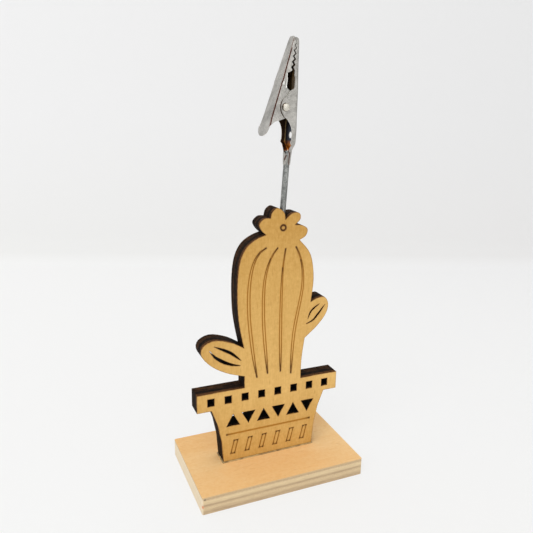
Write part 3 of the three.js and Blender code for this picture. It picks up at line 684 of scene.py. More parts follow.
def soften(piece: Piece, width_mm: float, segments: int = 2, limit: float = 40.0) -> None:
    """Rounds the piece's sharp edges with a bevel and shades its curves smooth.

    Args:
        piece: the piece.
        width_mm: how far the bevel reaches from an edge.
        segments: faces across the bevel.
        limit: least angle in degrees of an edge that is rounded.
    """
    bevel = piece.modifiers.new("edges", "BEVEL")
    bevel.width = width_mm * MM
    bevel.segments = segments
    bevel.limit_method = "ANGLE"
    bevel.angle_limit = math.radians(limit)
    apply_modifiers(piece)
    smooth(limit)
    weighted = piece.modifiers.new("normals", "WEIGHTED_NORMAL")
    weighted.keep_sharp = True
    apply_modifiers(piece)


def paint(piece: Piece, *materials: bpy.types.Material) -> None:
    """Gives the piece these materials in place of what it has."""
    piece.data.materials.clear()
    for material in materials:
        piece.data.materials.append(material)


def dress(node: str, material: bpy.types.Material) -> None:
    """Gives a CAD node a better material and reports it."""
    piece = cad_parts[node]
    if not piece.material_slots:
        piece.data.materials.append(material)
    for slot in piece.material_slots:
        slot.material = material
    LOG.info("dressed %s in %s", node, material.name)


def settle(piece: Piece, body: str, slot: str, *nodes: str) -> None:
    """Makes a finished piece ride on its body in place of CAD nodes, and reports it."""
    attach(piece, body)
    if nodes:
        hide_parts(*nodes)
    LOG.info("made %s, %d faces, on %s", piece.name, len(piece.data.polygons), body)


# The object


@dataclass
class BaseBoard:
    """Plywood board that the holder stands on, sawn and sanded."""

    nodes: tuple[str, ...] = (
        "base_face_veneer",
        "base_upper_cross_ply",
        "base_core_ply",
        "base_lower_cross_ply",
        "base_back_ply",
    )

    def finishes(self) -> list[Veneer | SawnPly]:
        """Gives the finish of each ply, from the top one down."""
        face = Veneer(
            "base_veneer",
            Fibres.WIDTH,
            pale=Tint(245, 213, 160),
            warm=Tint(228, 174, 106),
            pore=Tint(208, 154, 92),
            fade=0.2,
            edge=Tint(204, 176, 134),
        )
        names = ("upper_cross_ply_edge", "core_ply_edge", "lower_cross_ply_edge", "back_ply_edge")
        runs = (Fibres.DEPTH, Fibres.WIDTH) * 2
        return [face, *(SawnPly(name, fibres) for name, fibres in zip(names, runs))]

    def build(self) -> None:
        """Dresses the board's plies."""
        for node, finish in zip(self.nodes, self.finishes()):
            dress(node, finish.material())


@dataclass
class CactusPanel:
    """Laser-cut plywood cactus in its pot: five plies with burnt edges and an engraved face.

    Each kind of engraved line has how dark it is burnt along its length, and how far in
    millimetres the darker burn at its corners reaches. A point counts as on a face within
    on_level of it, and as on the lines' floor within the slack.
    """

    front: float = -2.6
    engraved: float = 0.25
    back: float = 3.75
    grid: float = 0.7
    fringe: float = 0.3
    halo: float = 0.3
    bleed: float = 0.42
    fine_reach: float = 0.75
    on_level: float = 0.01
    slack: float = 0.05
    ribs: tuple[float, float] = (0.08, 3.6)
    pot_line: tuple[float, float] = (0.12, 0.7)
    dashes: tuple[float, float] = (0.26, 0.4)
    ring: tuple[float, float] = (0.9, 1.0)
    long_line: float = 20.0
    dash_height: float = 3.5
    # Cosine of the widest angle between two runs of a line that is a corner.
    widest_corner: float = -0.64
    tones: tuple[tuple[float, float], ...] = (
        (7, 0.03), (13, -0.04), (20, -0.06), (27, -0.15), (33, -0.23), (37, -0.17),
        (49, -0.12), (61, -0.06), (73, 0.0), (79, 0.05), (85, 0.11), (91, 0.17),
    )

    def walls(self, mesh: bpy.types.Mesh, level: float) -> dict[str, np.ndarray]:
        """Finds the edges of one flat face, where a wall leaves it.

        Args:
            mesh: the ply's merged triangles.
            level: the y of the flat face in millimetres.

        Returns:
            Segments as rows of x, z, x, z in millimetres: those of the cut outline under "cut",
            and those of the engraved lines under "line".
        """
        reading = bmesh.new()
        reading.from_mesh(mesh)
        found: dict[str, list] = {"cut": [], "line": []}
        for edge in reading.edges:
            if any(abs(v.co.y / MM - level) > self.on_level for v in edge.verts):
                continue
            depths = [max(abs(v.co.y / MM - level) for v in face.verts) for face in edge.link_faces]
            if min(depths) > self.on_level or max(depths) < self.on_level:
                continue
            kind = "line" if max(depths) < self.engraved + self.slack else "cut"
            a, b = (v.co / MM for v in edge.verts)
            found[kind].append((a.x, a.z, b.x, b.z))
        reading.free()
        return {kind: np.array(rows).reshape(-1, 4) for kind, rows in found.items()}

    @staticmethod
    def distances(points: np.ndarray, segments: np.ndarray) -> np.ndarray:
        """Measures points against segments in the plane.

        Args:
            points: rows of x, z.
            segments: rows of x, z, x, z.

        Returns:
            Each point's distance to its nearest segment.
        """
        least = np.full(len(points), np.inf)
        for ax, az, bx, bz in segments:
            start, way = np.array((ax, az)), np.array((bx - ax, bz - az))
            share = np.clip((points - start) @ way / max(way @ way, 1e-12), 0, 1)
            apart = np.linalg.norm(points - start - share[:, None] * way, axis=1)
            least = np.minimum(least, apart)
        return least

    def cut_grid(self, piece: Piece) -> None:
        """Cuts the active piece into a fine grid, so that its marks have points to sit on."""
        low, high = (Vector(corner) for corner in (piece.bound_box[0], piece.bound_box[6]))
        bpy.ops.object.mode_set(mode="EDIT")
        for axis in (0, 2):
            for i in range(1, int((high[axis] - low[axis]) / (self.grid * MM)) + 1):
                cut_across(axis, low[axis] + i * self.grid * MM, Matrix.Identity(4))
        end_edit()

    @staticmethod
    def spot(x: float, z: float) -> tuple[float, float]:
        """Rounds a point, so that the ends of two segments that meet are the same."""
        return round(float(x), 3), round(float(z), 3)

    def lines(self, segments: np.ndarray) -> list[np.ndarray]:
        """Sorts the engraved segments into the closed lines that they belong to."""
        owner: dict[tuple, int] = {}
        groups: list[set[int]] = []
        for number, (ax, az, bx, bz) in enumerate(segments):
            ends = [self.spot(ax, az), self.spot(bx, bz)]
            known = sorted({owner[end] for end in ends if end in owner})
            if not known:
                known = [len(groups)]
                groups.append(set())
            home = known[0]
            groups[home].add(number)
            for other in known[1:]:
                groups[home] |= groups[other]
                groups[other] = set()
                owner.update({end: home for end, place in owner.items() if place == other})
            owner.update({end: home for end in ends})
        return [segments[sorted(group)] for group in groups if group]

    def corners(self, line: np.ndarray) -> np.ndarray:
        """Finds the sharp corners of one engraved line's outline, as rows of x, z."""
        ways: dict[tuple, list[np.ndarray]] = {}
        for ax, az, bx, bz in line:
            run = np.array((bx - ax, bz - az)) / max(math.hypot(bx - ax, bz - az), 1e-9)
            ways.setdefault(self.spot(ax, az), []).append(run)
            ways.setdefault(self.spot(bx, bz), []).append(-run)
        pairs = {spot: runs for spot, runs in ways.items() if len(runs) == 2}
        sharp = [spot for spot, (one, other) in pairs.items() if one @ other > self.widest_corner]
        return np.array(sharp).reshape(-1, 2)

    def kind_of_burn(self, line: np.ndarray) -> tuple[float, float]:
        """Tells from an engraved line's size which kind it is, and gives that kind's burn."""
        spots = line.reshape(-1, 2)
        width, height = spots.max(0) - spots.min(0)
        if height > self.long_line:
            return self.ribs
        if width > self.long_line:
            return self.pot_line
        return self.dashes if height > self.dash_height else self.ring

    def heat(self, points: np.ndarray, segments: np.ndarray) -> tuple[np.ndarray, np.ndarray]:
        """Says how dark each point near an engraved line is burnt, most at the line's corners.

        Args:
            points: rows of x, z in millimetres.
            segments: all engraved segments as rows of x, z, x, z.

        Returns:
            Each point's burn from 0 to 1, and its distance to the nearest line.
        """
        heat = np.zeros(len(points))
        least = np.full(len(points), np.inf)
        for line in self.lines(segments):
            base, reach = self.kind_of_burn(line)
            apart = self.distances(points, line)
            burnt = np.full(len(points), base)
            for corner in self.corners(line):
                gap = np.linalg.norm(points - corner, axis=1)
                burnt = np.maximum(burnt, base + (1 - base) * np.exp(-gap / reach))
            closer = apart < least
            heat[closer] = burnt[closer]
            least[closer] = apart[closer]
        return heat, least

    def refine(self, piece: Piece, level: float, walls: dict[str, np.ndarray]) -> None:
        """Halves the grid along the cut and the lines, where the marks are fine."""
        take(piece)
        edit_all()
        bpy.ops.mesh.quads_convert_to_tris(ngon_method="BEAUTY")
        end_edit()
        middles = np.array([face.center for face in piece.data.polygons]) / MM
        edges = np.concatenate([walls["cut"], walls["line"]])
        apart = self.distances(middles[:, [0, 2]], edges)
        near = (apart < self.fine_reach) & (np.abs(middles[:, 1] - level) < self.on_level)
        select_where(piece, "FACE", lambda face: bool(near[face.index]))
        bpy.ops.mesh.subdivide(number_cuts=1)
        end_edit()

    def mark_face(self, piece: Piece, level: float, walls: dict[str, np.ndarray]) -> None:
        """Writes the laser's marks on the mesh: scorch, engraving and how dark that is burnt.

        Args:
            piece: the face ply after its grid is cut.
            level: the y of the marked face in millimetres.
            walls: the face's edges, from walls().
        """
        mesh = piece.data
        spots = np.array([v.co for v in mesh.vertices]) / MM
        flat = spots[:, [0, 2]]
        deep = np.abs(spots[:, 1] - level)
        scorch, engraved, heat = (np.zeros(len(spots)) for _ in range(3))
        on_face = deep < self.on_level
        from_cut = self.distances(flat[on_face], walls["cut"])
        scorch[on_face] = np.clip(1 - from_cut / self.fringe, 0, 1)
        if len(walls["line"]):
            shown = deep < self.engraved + self.slack
            from_line = np.full(len(spots), np.inf)
            heat[shown], from_line[shown] = self.heat(flat[shown], walls["line"])
            beside = np.clip(1 - from_line / self.halo, 0, 1)
            engraved[shown] = 1
            engraved[on_face] = self.bleed * beside[on_face]
            scorch[on_face] = np.maximum(scorch, heat * beside)[on_face]
        for name, values in (("scorch", scorch), ("engraved", engraved), ("burn", heat)):
            mesh.attributes.new(name, "FLOAT", "POINT").data.foreach_set("value", values)

    def face_ply(self, node: str, name: str, level: float, wood: Veneer, edge: Char) -> None:
        """Makes one of the two outer plies, with a marked face and burnt edges.

        Args:
            node: the CAD node that it replaces.
            name: name of the piece.
            level: the y of its outer face in millimetres.
            wood: finish of the face.
            edge: finish of the cut edges.
        """
        piece = merged_copy(node, name)
        walls = self.walls(piece.data, level)
        self.cut_grid(piece)
        self.refine(piece, level, walls)
        self.mark_face(piece, level, walls)
        paint(piece, wood.material(), edge.material())
        for face in piece.data.polygons:
            deepest = max(abs(piece.data.vertices[i].co.y / MM - level) for i in face.vertices)
            face.material_index = int(deepest > self.engraved + self.slack)
        settle(piece, "holder", "ply_face" if level < 0 else "ply_back", node)

    def build(self) -> None:
        """Makes the outer plies and dresses the inner ones."""
        face = Veneer("cactus_veneer", Fibres.HEIGHT, laser_cut=True, tones=self.tones, fade=0.4)
        pale, warm = Tint(226, 192, 138), Tint(186, 142, 86)
        rear = Veneer("cactus_back_wood", Fibres.HEIGHT, pale, warm, laser_cut=True)
        brown = Char("face_edge_char", brown=Tint(98, 62, 33), share=0.72, upward_brown=0.12)
        black = Char("back_edge_char", share=0.4)
        self.face_ply("cactus_face_veneer", "cactus_face", self.front, face, brown)
        self.face_ply("cactus_back_ply", "cactus_back", self.back, rear, black)
        upper = Char("upper_cross_char", brown=Tint(90, 59, 34), share=0.48, upward_brown=0.12)
        core = Char("core_char", brown=Tint(60, 40, 24), share=0.3)
        lower = Char("lower_cross_char", brown=Tint(76, 50, 30), share=0.45)
        dress("cactus_upper_cross_ply", upper.material())
        dress("cactus_core_ply", core.material())
        dress("cactus_lower_cross_ply", lower.material())


@dataclass
class Lean:
    """Where the leaning wire starts, in the flower's top, and how it leans."""

    x: float = 4.7
    y: float = 0.575
    z: float = 92.45
    degrees: float = 3.55

    def matrix(self, up: float) -> Matrix:
        """Gives the place and turn of a frame so many millimetres up the wire, in metres."""
        turn = Matrix.Rotation(math.radians(self.degrees), 4, "Y")
        start = Matrix.Translation(Vector((self.x, self.y, self.z)) * MM)
        return start @ turn @ Matrix.Translation(Vector((0, 0, up * MM)))


@dataclass
class StemWire:
    """Steel wire that stands in the flower and carries the clip, with the glue round its foot."""

    lean: Lean
    diameter: float = 2.0
    set_in: float = 13.0
    shown: float = 17.9
    in_clip: float = 4.5
    end_round: float = 0.25

    def build(self) -> None:
        """Makes the wire and dresses its glue."""
        length = self.set_in + self.shown + self.in_clip
        deselect()
        bpy.ops.mesh.primitive_cylinder_add(
            vertices=48,
            radius=self.diameter / 2 * MM,
            depth=length * MM,
            location=(0, 0, (length / 2 - self.set_in) * MM),
        )
        piece = new_piece("wire")
        apply_place(piece)
        select_where(piece, "FACE", lambda face: len(face.verts) > 4)
        round_edges(self.end_round, 3)
        end_edit()
        piece.matrix_world = self.lean.matrix(0)
        apply_place(piece)
        smooth()
        steel = Steel(
            "drawn_wire",
            Tint(172, 173, 170),
            Tint(92, 95, 94),
            rough=0.5,
            patches_per_mm=0.6,
            relief_mm=0.01,
        )
        paint(piece, steel.material())
        settle(piece, "holder", "wire_steel", "stem_wire")
        dark = DriedGlue("stem_glue_skin", skin=Tint(150, 120, 76), dust=Tint(84, 62, 40))
        dress("stem_glue", dark.material())
        dress("foot_glue", DriedGlue("foot_glue_skin").material())


class JawFinish(IntEnum):
    """What a face of a jaw is finished in, in the order of the jaw's materials."""

    OUTSIDE = 0
    # Painted dark reflection on the lever's fold, and painted shade on its mouth's inner edges.
    PAINTED_DARK_LINE = 1
    # The three inside finishes are painted shade, with painted reflections.
    INNER_BACK = 2
    INNER_BEND = 3
    INNER_CHEEK = 4
    # Painted highlight on the sheet's cut edges.
    CUT_EDGE_HIGHLIGHT = 5
    # Painted highlight on the lever's lip and neck.
    POLISH = 6


AMBER_REFLECTION = Tint(216, 128, 40)
# Painted shade of the jaws' insides, with painted reflections: lighter on the bend, blue-grey in
# the back's tail and amber by the crimp. Tints: light streaks, dark streaks, in the tail, by the
# crimp.
JAW_INSIDE_SHADE = {
    JawFinish.INNER_BACK: (Tint(106, 82, 44), Tint(50, 38, 22), Tint(52, 60, 74), AMBER_REFLECTION),
    JawFinish.INNER_BEND: (Tint(96, 78, 54), Tint(58, 44, 30), Tint(130, 112, 76), AMBER_REFLECTION),
    JawFinish.INNER_CHEEK: (Tint(74, 50, 34), Tint(30, 20, 13), Tint(92, 66, 46)),
}
# Bright and dull tints, roughness and patches to a millimetre of their narrow outer parts, all
# painted light: the dark line, and the highlights on the cut edges and on the lip and neck.
JAW_STEEL = {
    JawFinish.PAINTED_DARK_LINE: (Tint(96, 66, 58), Tint(70, 46, 40), 0.6, 1.0),
    JawFinish.CUT_EDGE_HIGHLIGHT: (Tint(236, 232, 224), Tint(206, 202, 194), 0.3, 0.8),
    JawFinish.POLISH: (Tint(255, 254, 250), Tint(240, 238, 232), 0.2, 0.8),
}


@dataclass
class SpringClip:
    """Spring clip on the wire: two stamped jaws, the rivet that they turn on and its spring.

    Places are about the clip's foot, the lower end of its crimp, with Z up the leaning wire.
    """

    lean: Lean
    up: float = 17.9
    edge_round: float = 0.05

    # Rivet and spring.
    pivot_x: float = -3.45
    pivot_z: float = 17.9
    rivet: float = 1.6
    head: float = 2.6
    head_height: float = 0.6
    dome: float = 0.85
    seat: float = 3.849
    # Offset from the pivot and reach of the painted dark reflection on the rivet's head.
    dark_reflection_offset: tuple[float, float] = (0.45, -0.15)
    dark_reflection_reach: float = 1.85
    spring_wire: float = 0.5
    spring_pitch: float = 1.08
    spring_play: float = 0.35
    spring_turns: int = 3
    steps_per_turn: int = 32
    fixed_foot: tuple[float, float] = (0.205, 11.6)
    lever_foot: tuple[float, float] = (-7.961, 12.9)

    # Outlines: which short facets of the sheet's edges are rounded, by their turn in degrees
    # and by their length across the sheet, and by how many per cent.
    sheet: float = 0.3
    sheet_slack: float = 1.3
    facet_turn: tuple[float, float] = (7, 38)
    facet_round: float = 28

    # Places along the jaws where one finish gives way to another.
    tail_hole: float = 1.2
    crimp: float = 4.65
    neck_top: float = 7.0
    mouth: float = 29.0
    thumb: float = 11.7
    fold_narrow: float = 36.4
    fold_top: float = 38.2
    fold_from: float = 42
    fold_to: float = 84
    fold_to_narrow: float = 66
    edge_width: float = 0.5
    strip_width: float = 1.0
    # Lines of painted shade in the crimp's seam and crease, each from a start to an end.
    crimp_seams: tuple[tuple[tuple[float, float, float], tuple[float, float, float]], ...] = (
        ((0.2, -1.36, 0.2), (0.17, -1.4, 3.9)),
        ((-1.25, -0.6, 1.5), (-0.3, -1.35, 4.3)),
    )
    # Middle and reach of the ring of painted shadow in the gap along the ear's edge, on the lever.
    gap_shadow_middle: tuple[float, float] = (-1.4, 17.9)
    gap_shadow_reach: float = 3.92
    # Areas of the lever's cheek, by the window's lip and at the neck, that get a painted highlight.
    lip_x: tuple[float, float] = (-3.65, -2.95)
    lip_z: tuple[float, float] = (23.7, 28.0)
    neck_x: tuple[float, float] = (-5.1, -4.2)
    neck_z: tuple[float, float] = (24.6, 25.5)

    # How much of a face's direction points one way, from 0 to 1.
    slightly: float = 0.2
    hardly: float = 0.3
    partly: float = 0.4
    steeply: float = 0.7
    mostly: float = 0.85
    fully: float = 0.9

    def at(self, x: float, y: float, z: float) -> Vector:
        """Gives the place in the scene, in metres, of a spot about the clip's foot."""
        return self.lean.matrix(self.up) @ (Vector((x, y, z)) * MM)

    def stand(self, piece: Piece) -> None:
        """Puts a piece made about the clip's own foot in its place up the leaning wire."""
        piece.matrix_world = self.lean.matrix(self.up) @ piece.matrix_world
        apply_place(piece)

    def neck_finish(self, back: float, cheek: float) -> JawFinish:
        """Tells the finish of a slanted face in the neck by how much it points back and aside."""
        if cheek > self.hardly:
            return JawFinish.OUTSIDE
        if cheek > -self.slightly:
            return JawFinish.CUT_EDGE_HIGHLIGHT
        return JawFinish.INNER_BEND if back < -self.partly else JawFinish.INNER_CHEEK

    def on_painted_dark_line(self, z: float, back: float, cheek: float) -> bool:
        """Tells whether a face of the lever lies on the fold between cheek and back, where a dark
        reflection is painted.
        """
        outward = math.degrees(math.atan2(cheek, back))
        fold_to = self.fold_to if z < self.fold_narrow else self.fold_to_narrow
        return self.fold_from < outward < fold_to and self.thumb < z < self.fold_top

    def in_painted_highlight(self, middle: Vector) -> bool:
        """Tells whether a spot of the lever's cheek lies on its lip or neck, where a highlight is
        painted.
        """
        areas = ((self.lip_x, self.lip_z), (self.neck_x, self.neck_z))
        return any(x[0] < middle.x < x[1] and z[0] < middle.z < z[1] for x, z in areas)

    def finish_of(self, spots: list[Vector], normal: Vector, facing: int) -> JawFinish:
        """Tells the finish of a face of a jaw, from where it lies and how it faces.

        Args:
            spots: the face's corners about the clip's foot, in millimetres.
            normal: the face's direction there.
            facing: 1 where the jaw's back faces +X, and -1 where it faces -X.

        Returns:
            The finish.
        """
        middle = sum(spots, Vector()) / len(spots)
        across = max(spot.y for spot in spots) - min(spot.y for spot in spots)
        back = normal.x * facing
        cheek = normal.y * (1 if middle.y > 0 else -1)
        lever = facing < 0
        endwise = abs(cheek) < self.hardly
        thin = across < self.edge_width
        if middle.z < self.crimp:
            return JawFinish.OUTSIDE
        if not lever and middle.z < self.neck_top and abs(back) < self.mostly:
            return self.neck_finish(back, cheek)
        if lever and self.on_painted_dark_line(middle.z, back, cheek):
            return JawFinish.PAINTED_DARK_LINE
        if back > self.mostly:
            return JawFinish.OUTSIDE
        if lever and cheek > self.fully and self.in_painted_highlight(middle):
            return JawFinish.POLISH
        # Thin inner edges by the lever's mouth get the same painted dark line, as shade in the gap
        # between the jaws.
        if endwise and thin and back < -self.hardly and middle.z > self.mouth:
            return JawFinish.PAINTED_DARK_LINE
        in_hole = abs(middle.y) < self.tail_hole and across < self.strip_width
        # Faces that point up or down, and the hole's edges, get the painted cut-edge highlight.
        if abs(normal.z) > self.steeply or in_hole:
            return JawFinish.CUT_EDGE_HIGHLIGHT
        if endwise and back < -self.fully:
            return JawFinish.INNER_BACK if across > self.strip_width else JawFinish.CUT_EDGE_HIGHLIGHT
        if back < -self.slightly and cheek < -self.slightly:
            return JawFinish.INNER_BEND
        if cheek < -self.fully:
            return JawFinish.INNER_CHEEK
        return JawFinish.CUT_EDGE_HIGHLIGHT if endwise and thin else JawFinish.OUTSIDE

    def cut_polish(self) -> None:
        """Cuts the active lever's flat cheeks along the bounds of their painted highlights."""
        place = self.lean.matrix(self.up)
        bpy.ops.object.mode_set(mode="EDIT")
        for x in (self.lip_x[0], *self.neck_x):
            cut_across(0, x * MM, place)
        for z in (*self.lip_z, *self.neck_z):
            cut_across(2, z * MM, place)
        end_edit()

    def outside(self, name: str, lever: bool) -> Steel:
        """Gives the finish of a jaw's outside: the lever has a painted shadow by its ear, and the
        other painted shade along its crimp.
        """
        plain = Steel(
            f"{name}_nickel",
            Tint(197, 194, 188),
            Tint(139, 137, 132),
            rough=0.34,
            patches_per_mm=0.25,
        )
        if lever:
            middle = self.at(self.gap_shadow_middle[0], 0, self.gap_shadow_middle[1]) / MM
            return replace(plain, ring_middle=(middle.x, middle.z), ring_reach=self.gap_shadow_reach)
        seams = [tuple(self.at(*spot) / MM for spot in seam) for seam in self.crimp_seams]
        return replace(plain, seams=tuple(seams), painted_dark=Tint(92, 68, 60))

    def jaw_finish(self, name: str, kind: JawFinish, lever: bool) -> Steel | ShadedInnerSteel:
        """Gives a jaw's finish of one kind.

        Args:
            name: the jaw's name, which the finish's name starts with.
            kind: which finish it is.
            lever: whether the jaw is the lever.

        Returns:
            The finish.
        """
        title = f"{name}_{kind.name.lower()}"
        if kind in JAW_INSIDE_SHADE:
            return ShadedInnerSteel(title, *JAW_INSIDE_SHADE[kind])
        if kind in JAW_STEEL:
            return Steel(title, *JAW_STEEL[kind])
        return self.outside(name, lever)

    def round_outline(self) -> None:
        """Rounds the short facets of the active jaw's curved outlines, across the sheet."""
        home = self.lean.matrix(self.up).inverted()
        least, most = (math.radians(turn) for turn in self.facet_turn)
        longest = self.sheet * self.sheet_slack * MM

        def is_facet(edge: Element) -> bool:
            """Tells whether an edge runs across the sheet between two facets of a curve."""
            above = edge.is_manifold and (home @ edge.verts[0].co).z > self.neck_top * MM
            return above and least < edge.calc_face_angle(0) < most and edge.calc_length() < longest

        select_where(bpy.context.object, "EDGE", is_facet)
        bpy.ops.mesh.bevel(
            offset_type="PERCENT", offset_pct=self.facet_round, segments=2, affect="EDGES"
        )
        end_edit()

    def jaw(self, node: str, name: str, body: str, facing: int) -> None:
        """Makes one stamped jaw with its outline and its sheet edges rounded.

        Args:
            node: the CAD node that it replaces.
            name: name of the piece.
            body: the body that it rides on.
            facing: 1 where the jaw's back faces +X, and -1 where it faces -X.
        """
        piece = merged_copy(node, name)
        edit_all()
        bpy.ops.mesh.dissolve_limited(angle_limit=math.radians(0.6))
        bpy.ops.mesh.vert_connect_nonplanar(angle_limit=math.radians(1.0))
        self.round_outline()
        if facing < 0:
            self.cut_polish()
        soften(piece, self.edge_round)
        paint(piece, *[self.jaw_finish(name, kind, facing < 0).material() for kind in JawFinish])
        home = self.lean.matrix(self.up).inverted()
        mesh = piece.data
        for face in mesh.polygons:
            spots = [home @ mesh.vertices[i].co / MM for i in face.vertices]
            kind = self.finish_of(spots, home.to_3x3() @ face.normal, facing)
            face.material_index = kind.value
        settle(piece, body, "clip_steel", node)

    def make_rivet(self) -> None:
        """Makes the rivet: a shank with a domed head at each end, with a painted dark reflection on
        one side.
        """
        deselect()
        bpy.ops.mesh.primitive_cylinder_add(
            vertices=48,
            radius=self.rivet / 2 * MM,
            depth=2 * self.seat * MM,
            rotation=(math.pi / 2, 0, 0),
        )
        piece = new_piece("rivet")
        apply_place(piece)
        spread = self.head / self.rivet
        for side in (-1, 1):
            select_where(
                piece, "FACE", lambda f: len(f.verts) > 4 and f.calc_center_median().y * side > 0
            )
            bpy.ops.mesh.extrude_region_move()
            end = (0, side * self.seat * MM, 0)
            bpy.ops.transform.resize(value=(spread, 1, spread), center_override=end)
            extrude(0, side * self.head_height, 0)
            round_edges(self.dome * self.head_height, 6)
            end_edit()
        piece.location = Vector((self.pivot_x, 0, self.pivot_z)) * MM
        bpy.context.view_layer.update()
        self.stand(piece)
        smooth()
        middle = self.at(self.pivot_x + self.dark_reflection_offset[0], 0, self.pivot_z + self.dark_reflection_offset[1]) / MM
        steel = Steel(
            "rivet_nickel",
            Tint(226, 222, 212),
            Tint(192, 187, 172),
            rough=0.24,
            patches_per_mm=0.6,
            painted_dark=Tint(120, 108, 96),
            ring_middle=(middle.x, middle.z),
            ring_reach=self.dark_reflection_reach,
        )
        paint(piece, steel.material())
        settle(piece, "holder", "clip_steel", "pivot_rivet")

    def spring_route(self) -> list[Vector]:
        """Gives the spring's centre line about the clip's foot, in millimetres.

        Returns:
            Points from the foot on the fixed jaw, round the rivet, to the foot on the lever.
        """
        radius = self.rivet / 2 + self.spring_play + self.spring_wire / 2

        def leaves(foot: tuple[float, float], turn: int) -> float:
            """Gives the angle at which a leg leaves the coil along its tangent."""
            dx, dz = foot[0] - self.pivot_x, foot[1] - self.pivot_z
            return math.atan2(dz, dx) + turn * math.acos(radius / math.hypot(dx, dz))

        start = leaves(self.fixed_foot, 1)
        end = leaves(self.lever_foot, -1)
        while end < start:
            end += 2 * math.pi
        end += 2 * math.pi * self.spring_turns
        turns = (end - start) / (2 * math.pi)
        edge = turns * self.spring_pitch / 2
        steps = round(turns * self.steps_per_turn)
        route = [Vector((self.fixed_foot[0], -edge, self.fixed_foot[1]))]
        for i in range(steps + 1):
            angle = start + (end - start) * i / steps
            x = self.pivot_x + radius * math.cos(angle)
            z = self.pivot_z + radius * math.sin(angle)
            route.append(Vector((x, -edge + 2 * edge * i / steps, z)))
        route.append(Vector((self.lever_foot[0], edge, self.lever_foot[1])))
        return route

    def make_spring(self) -> None:
        """Makes the torsion spring as one round wire."""
        route = self.spring_route()
        line = bpy.data.curves.new("spring", "CURVE")
        line.dimensions = "3D"
        line.bevel_depth = self.spring_wire / 2 * MM
        line.bevel_resolution = 3
        line.use_fill_caps = True
        run = line.splines.new("POLY")
        run.points.add(len(route) - 1)
        for point, spot in zip(run.points, route):
            point.co = (*(spot * MM), 1)
        take(put("spring", line))
        bpy.ops.object.convert(target="MESH")
        piece = bpy.context.object
        edit_all()
        bpy.ops.mesh.remove_doubles(threshold=SAME_SPOT * MM)
        bpy.ops.mesh.normals_make_consistent(inside=False)
        end_edit()
        self.stand(piece)
        smooth(50)
        steel = Steel(
            "spring_wire",
            Tint(120, 112, 100),
            Tint(88, 80, 70),
            rough=0.42,
            patches_per_mm=0.6,
        )
        paint(piece, steel.material())
        edge = abs(route[0].y)
        ends = [self.at(self.pivot_x, side * edge, self.pivot_z) for side in (-1, 1)]
        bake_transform(piece)
        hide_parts("torsion_spring")
        LOG.info("made %s, %d faces, from holder to lever", piece.name, len(piece.data.polygons))

    def build(self) -> None:
        """Makes the clip's pieces."""
        self.jaw("fixed_jaw", "fixed_jaw_steel", "holder", 1)
        self.jaw("lever_jaw", "lever_jaw_steel", "lever", -1)
        self.make_rivet()
        self.make_spring()


# The studio


@dataclass
class Camera:
    """The photograph's viewpoint, worked out from the base's corners and the pot's edges."""

    place: tuple[float, float, float] = (-73.066, -169.784, 126.951)
    heading: float = 23.017
    dip: float = 15.302
    roll: float = 0.899
    lens: float = 38.242

    def axes(self) -> tuple[Vector, Vector, Vector]:
        """Gives the camera's right, up and forward directions."""
        turn, dip, roll = (math.radians(angle) for angle in (self.heading, self.dip, self.roll))
        ahead = math.cos(dip)
        forward = Vector((math.sin(turn) * ahead, math.cos(turn) * ahead, -math.sin(dip)))
        level = Vector((math.cos(turn), -math.sin(turn), 0))
        upright = level.cross(forward)
        right = level * math.cos(roll) + upright * math.sin(roll)
        up = upright * math.cos(roll) - level * math.sin(roll)
        return right, up, forward

    def build(self) -> None:
        """Makes the camera and gives it to the scene."""
        right, up, forward = self.axes()
        data = bpy.data.cameras.new("camera")
        data.sensor_width = 36
        data.sensor_fit = "HORIZONTAL"
        data.lens = self.lens
        data.clip_start = 1 * MM
        data.clip_end = 20
        camera = put("camera", data)
        turn = Matrix((right, up, -forward)).transposed()
        camera.matrix_world = Matrix.Translation(Vector(self.place) * MM) @ turn.to_4x4()
        bpy.context.scene.camera = camera
        LOG.info("camera at %s mm", self.place)


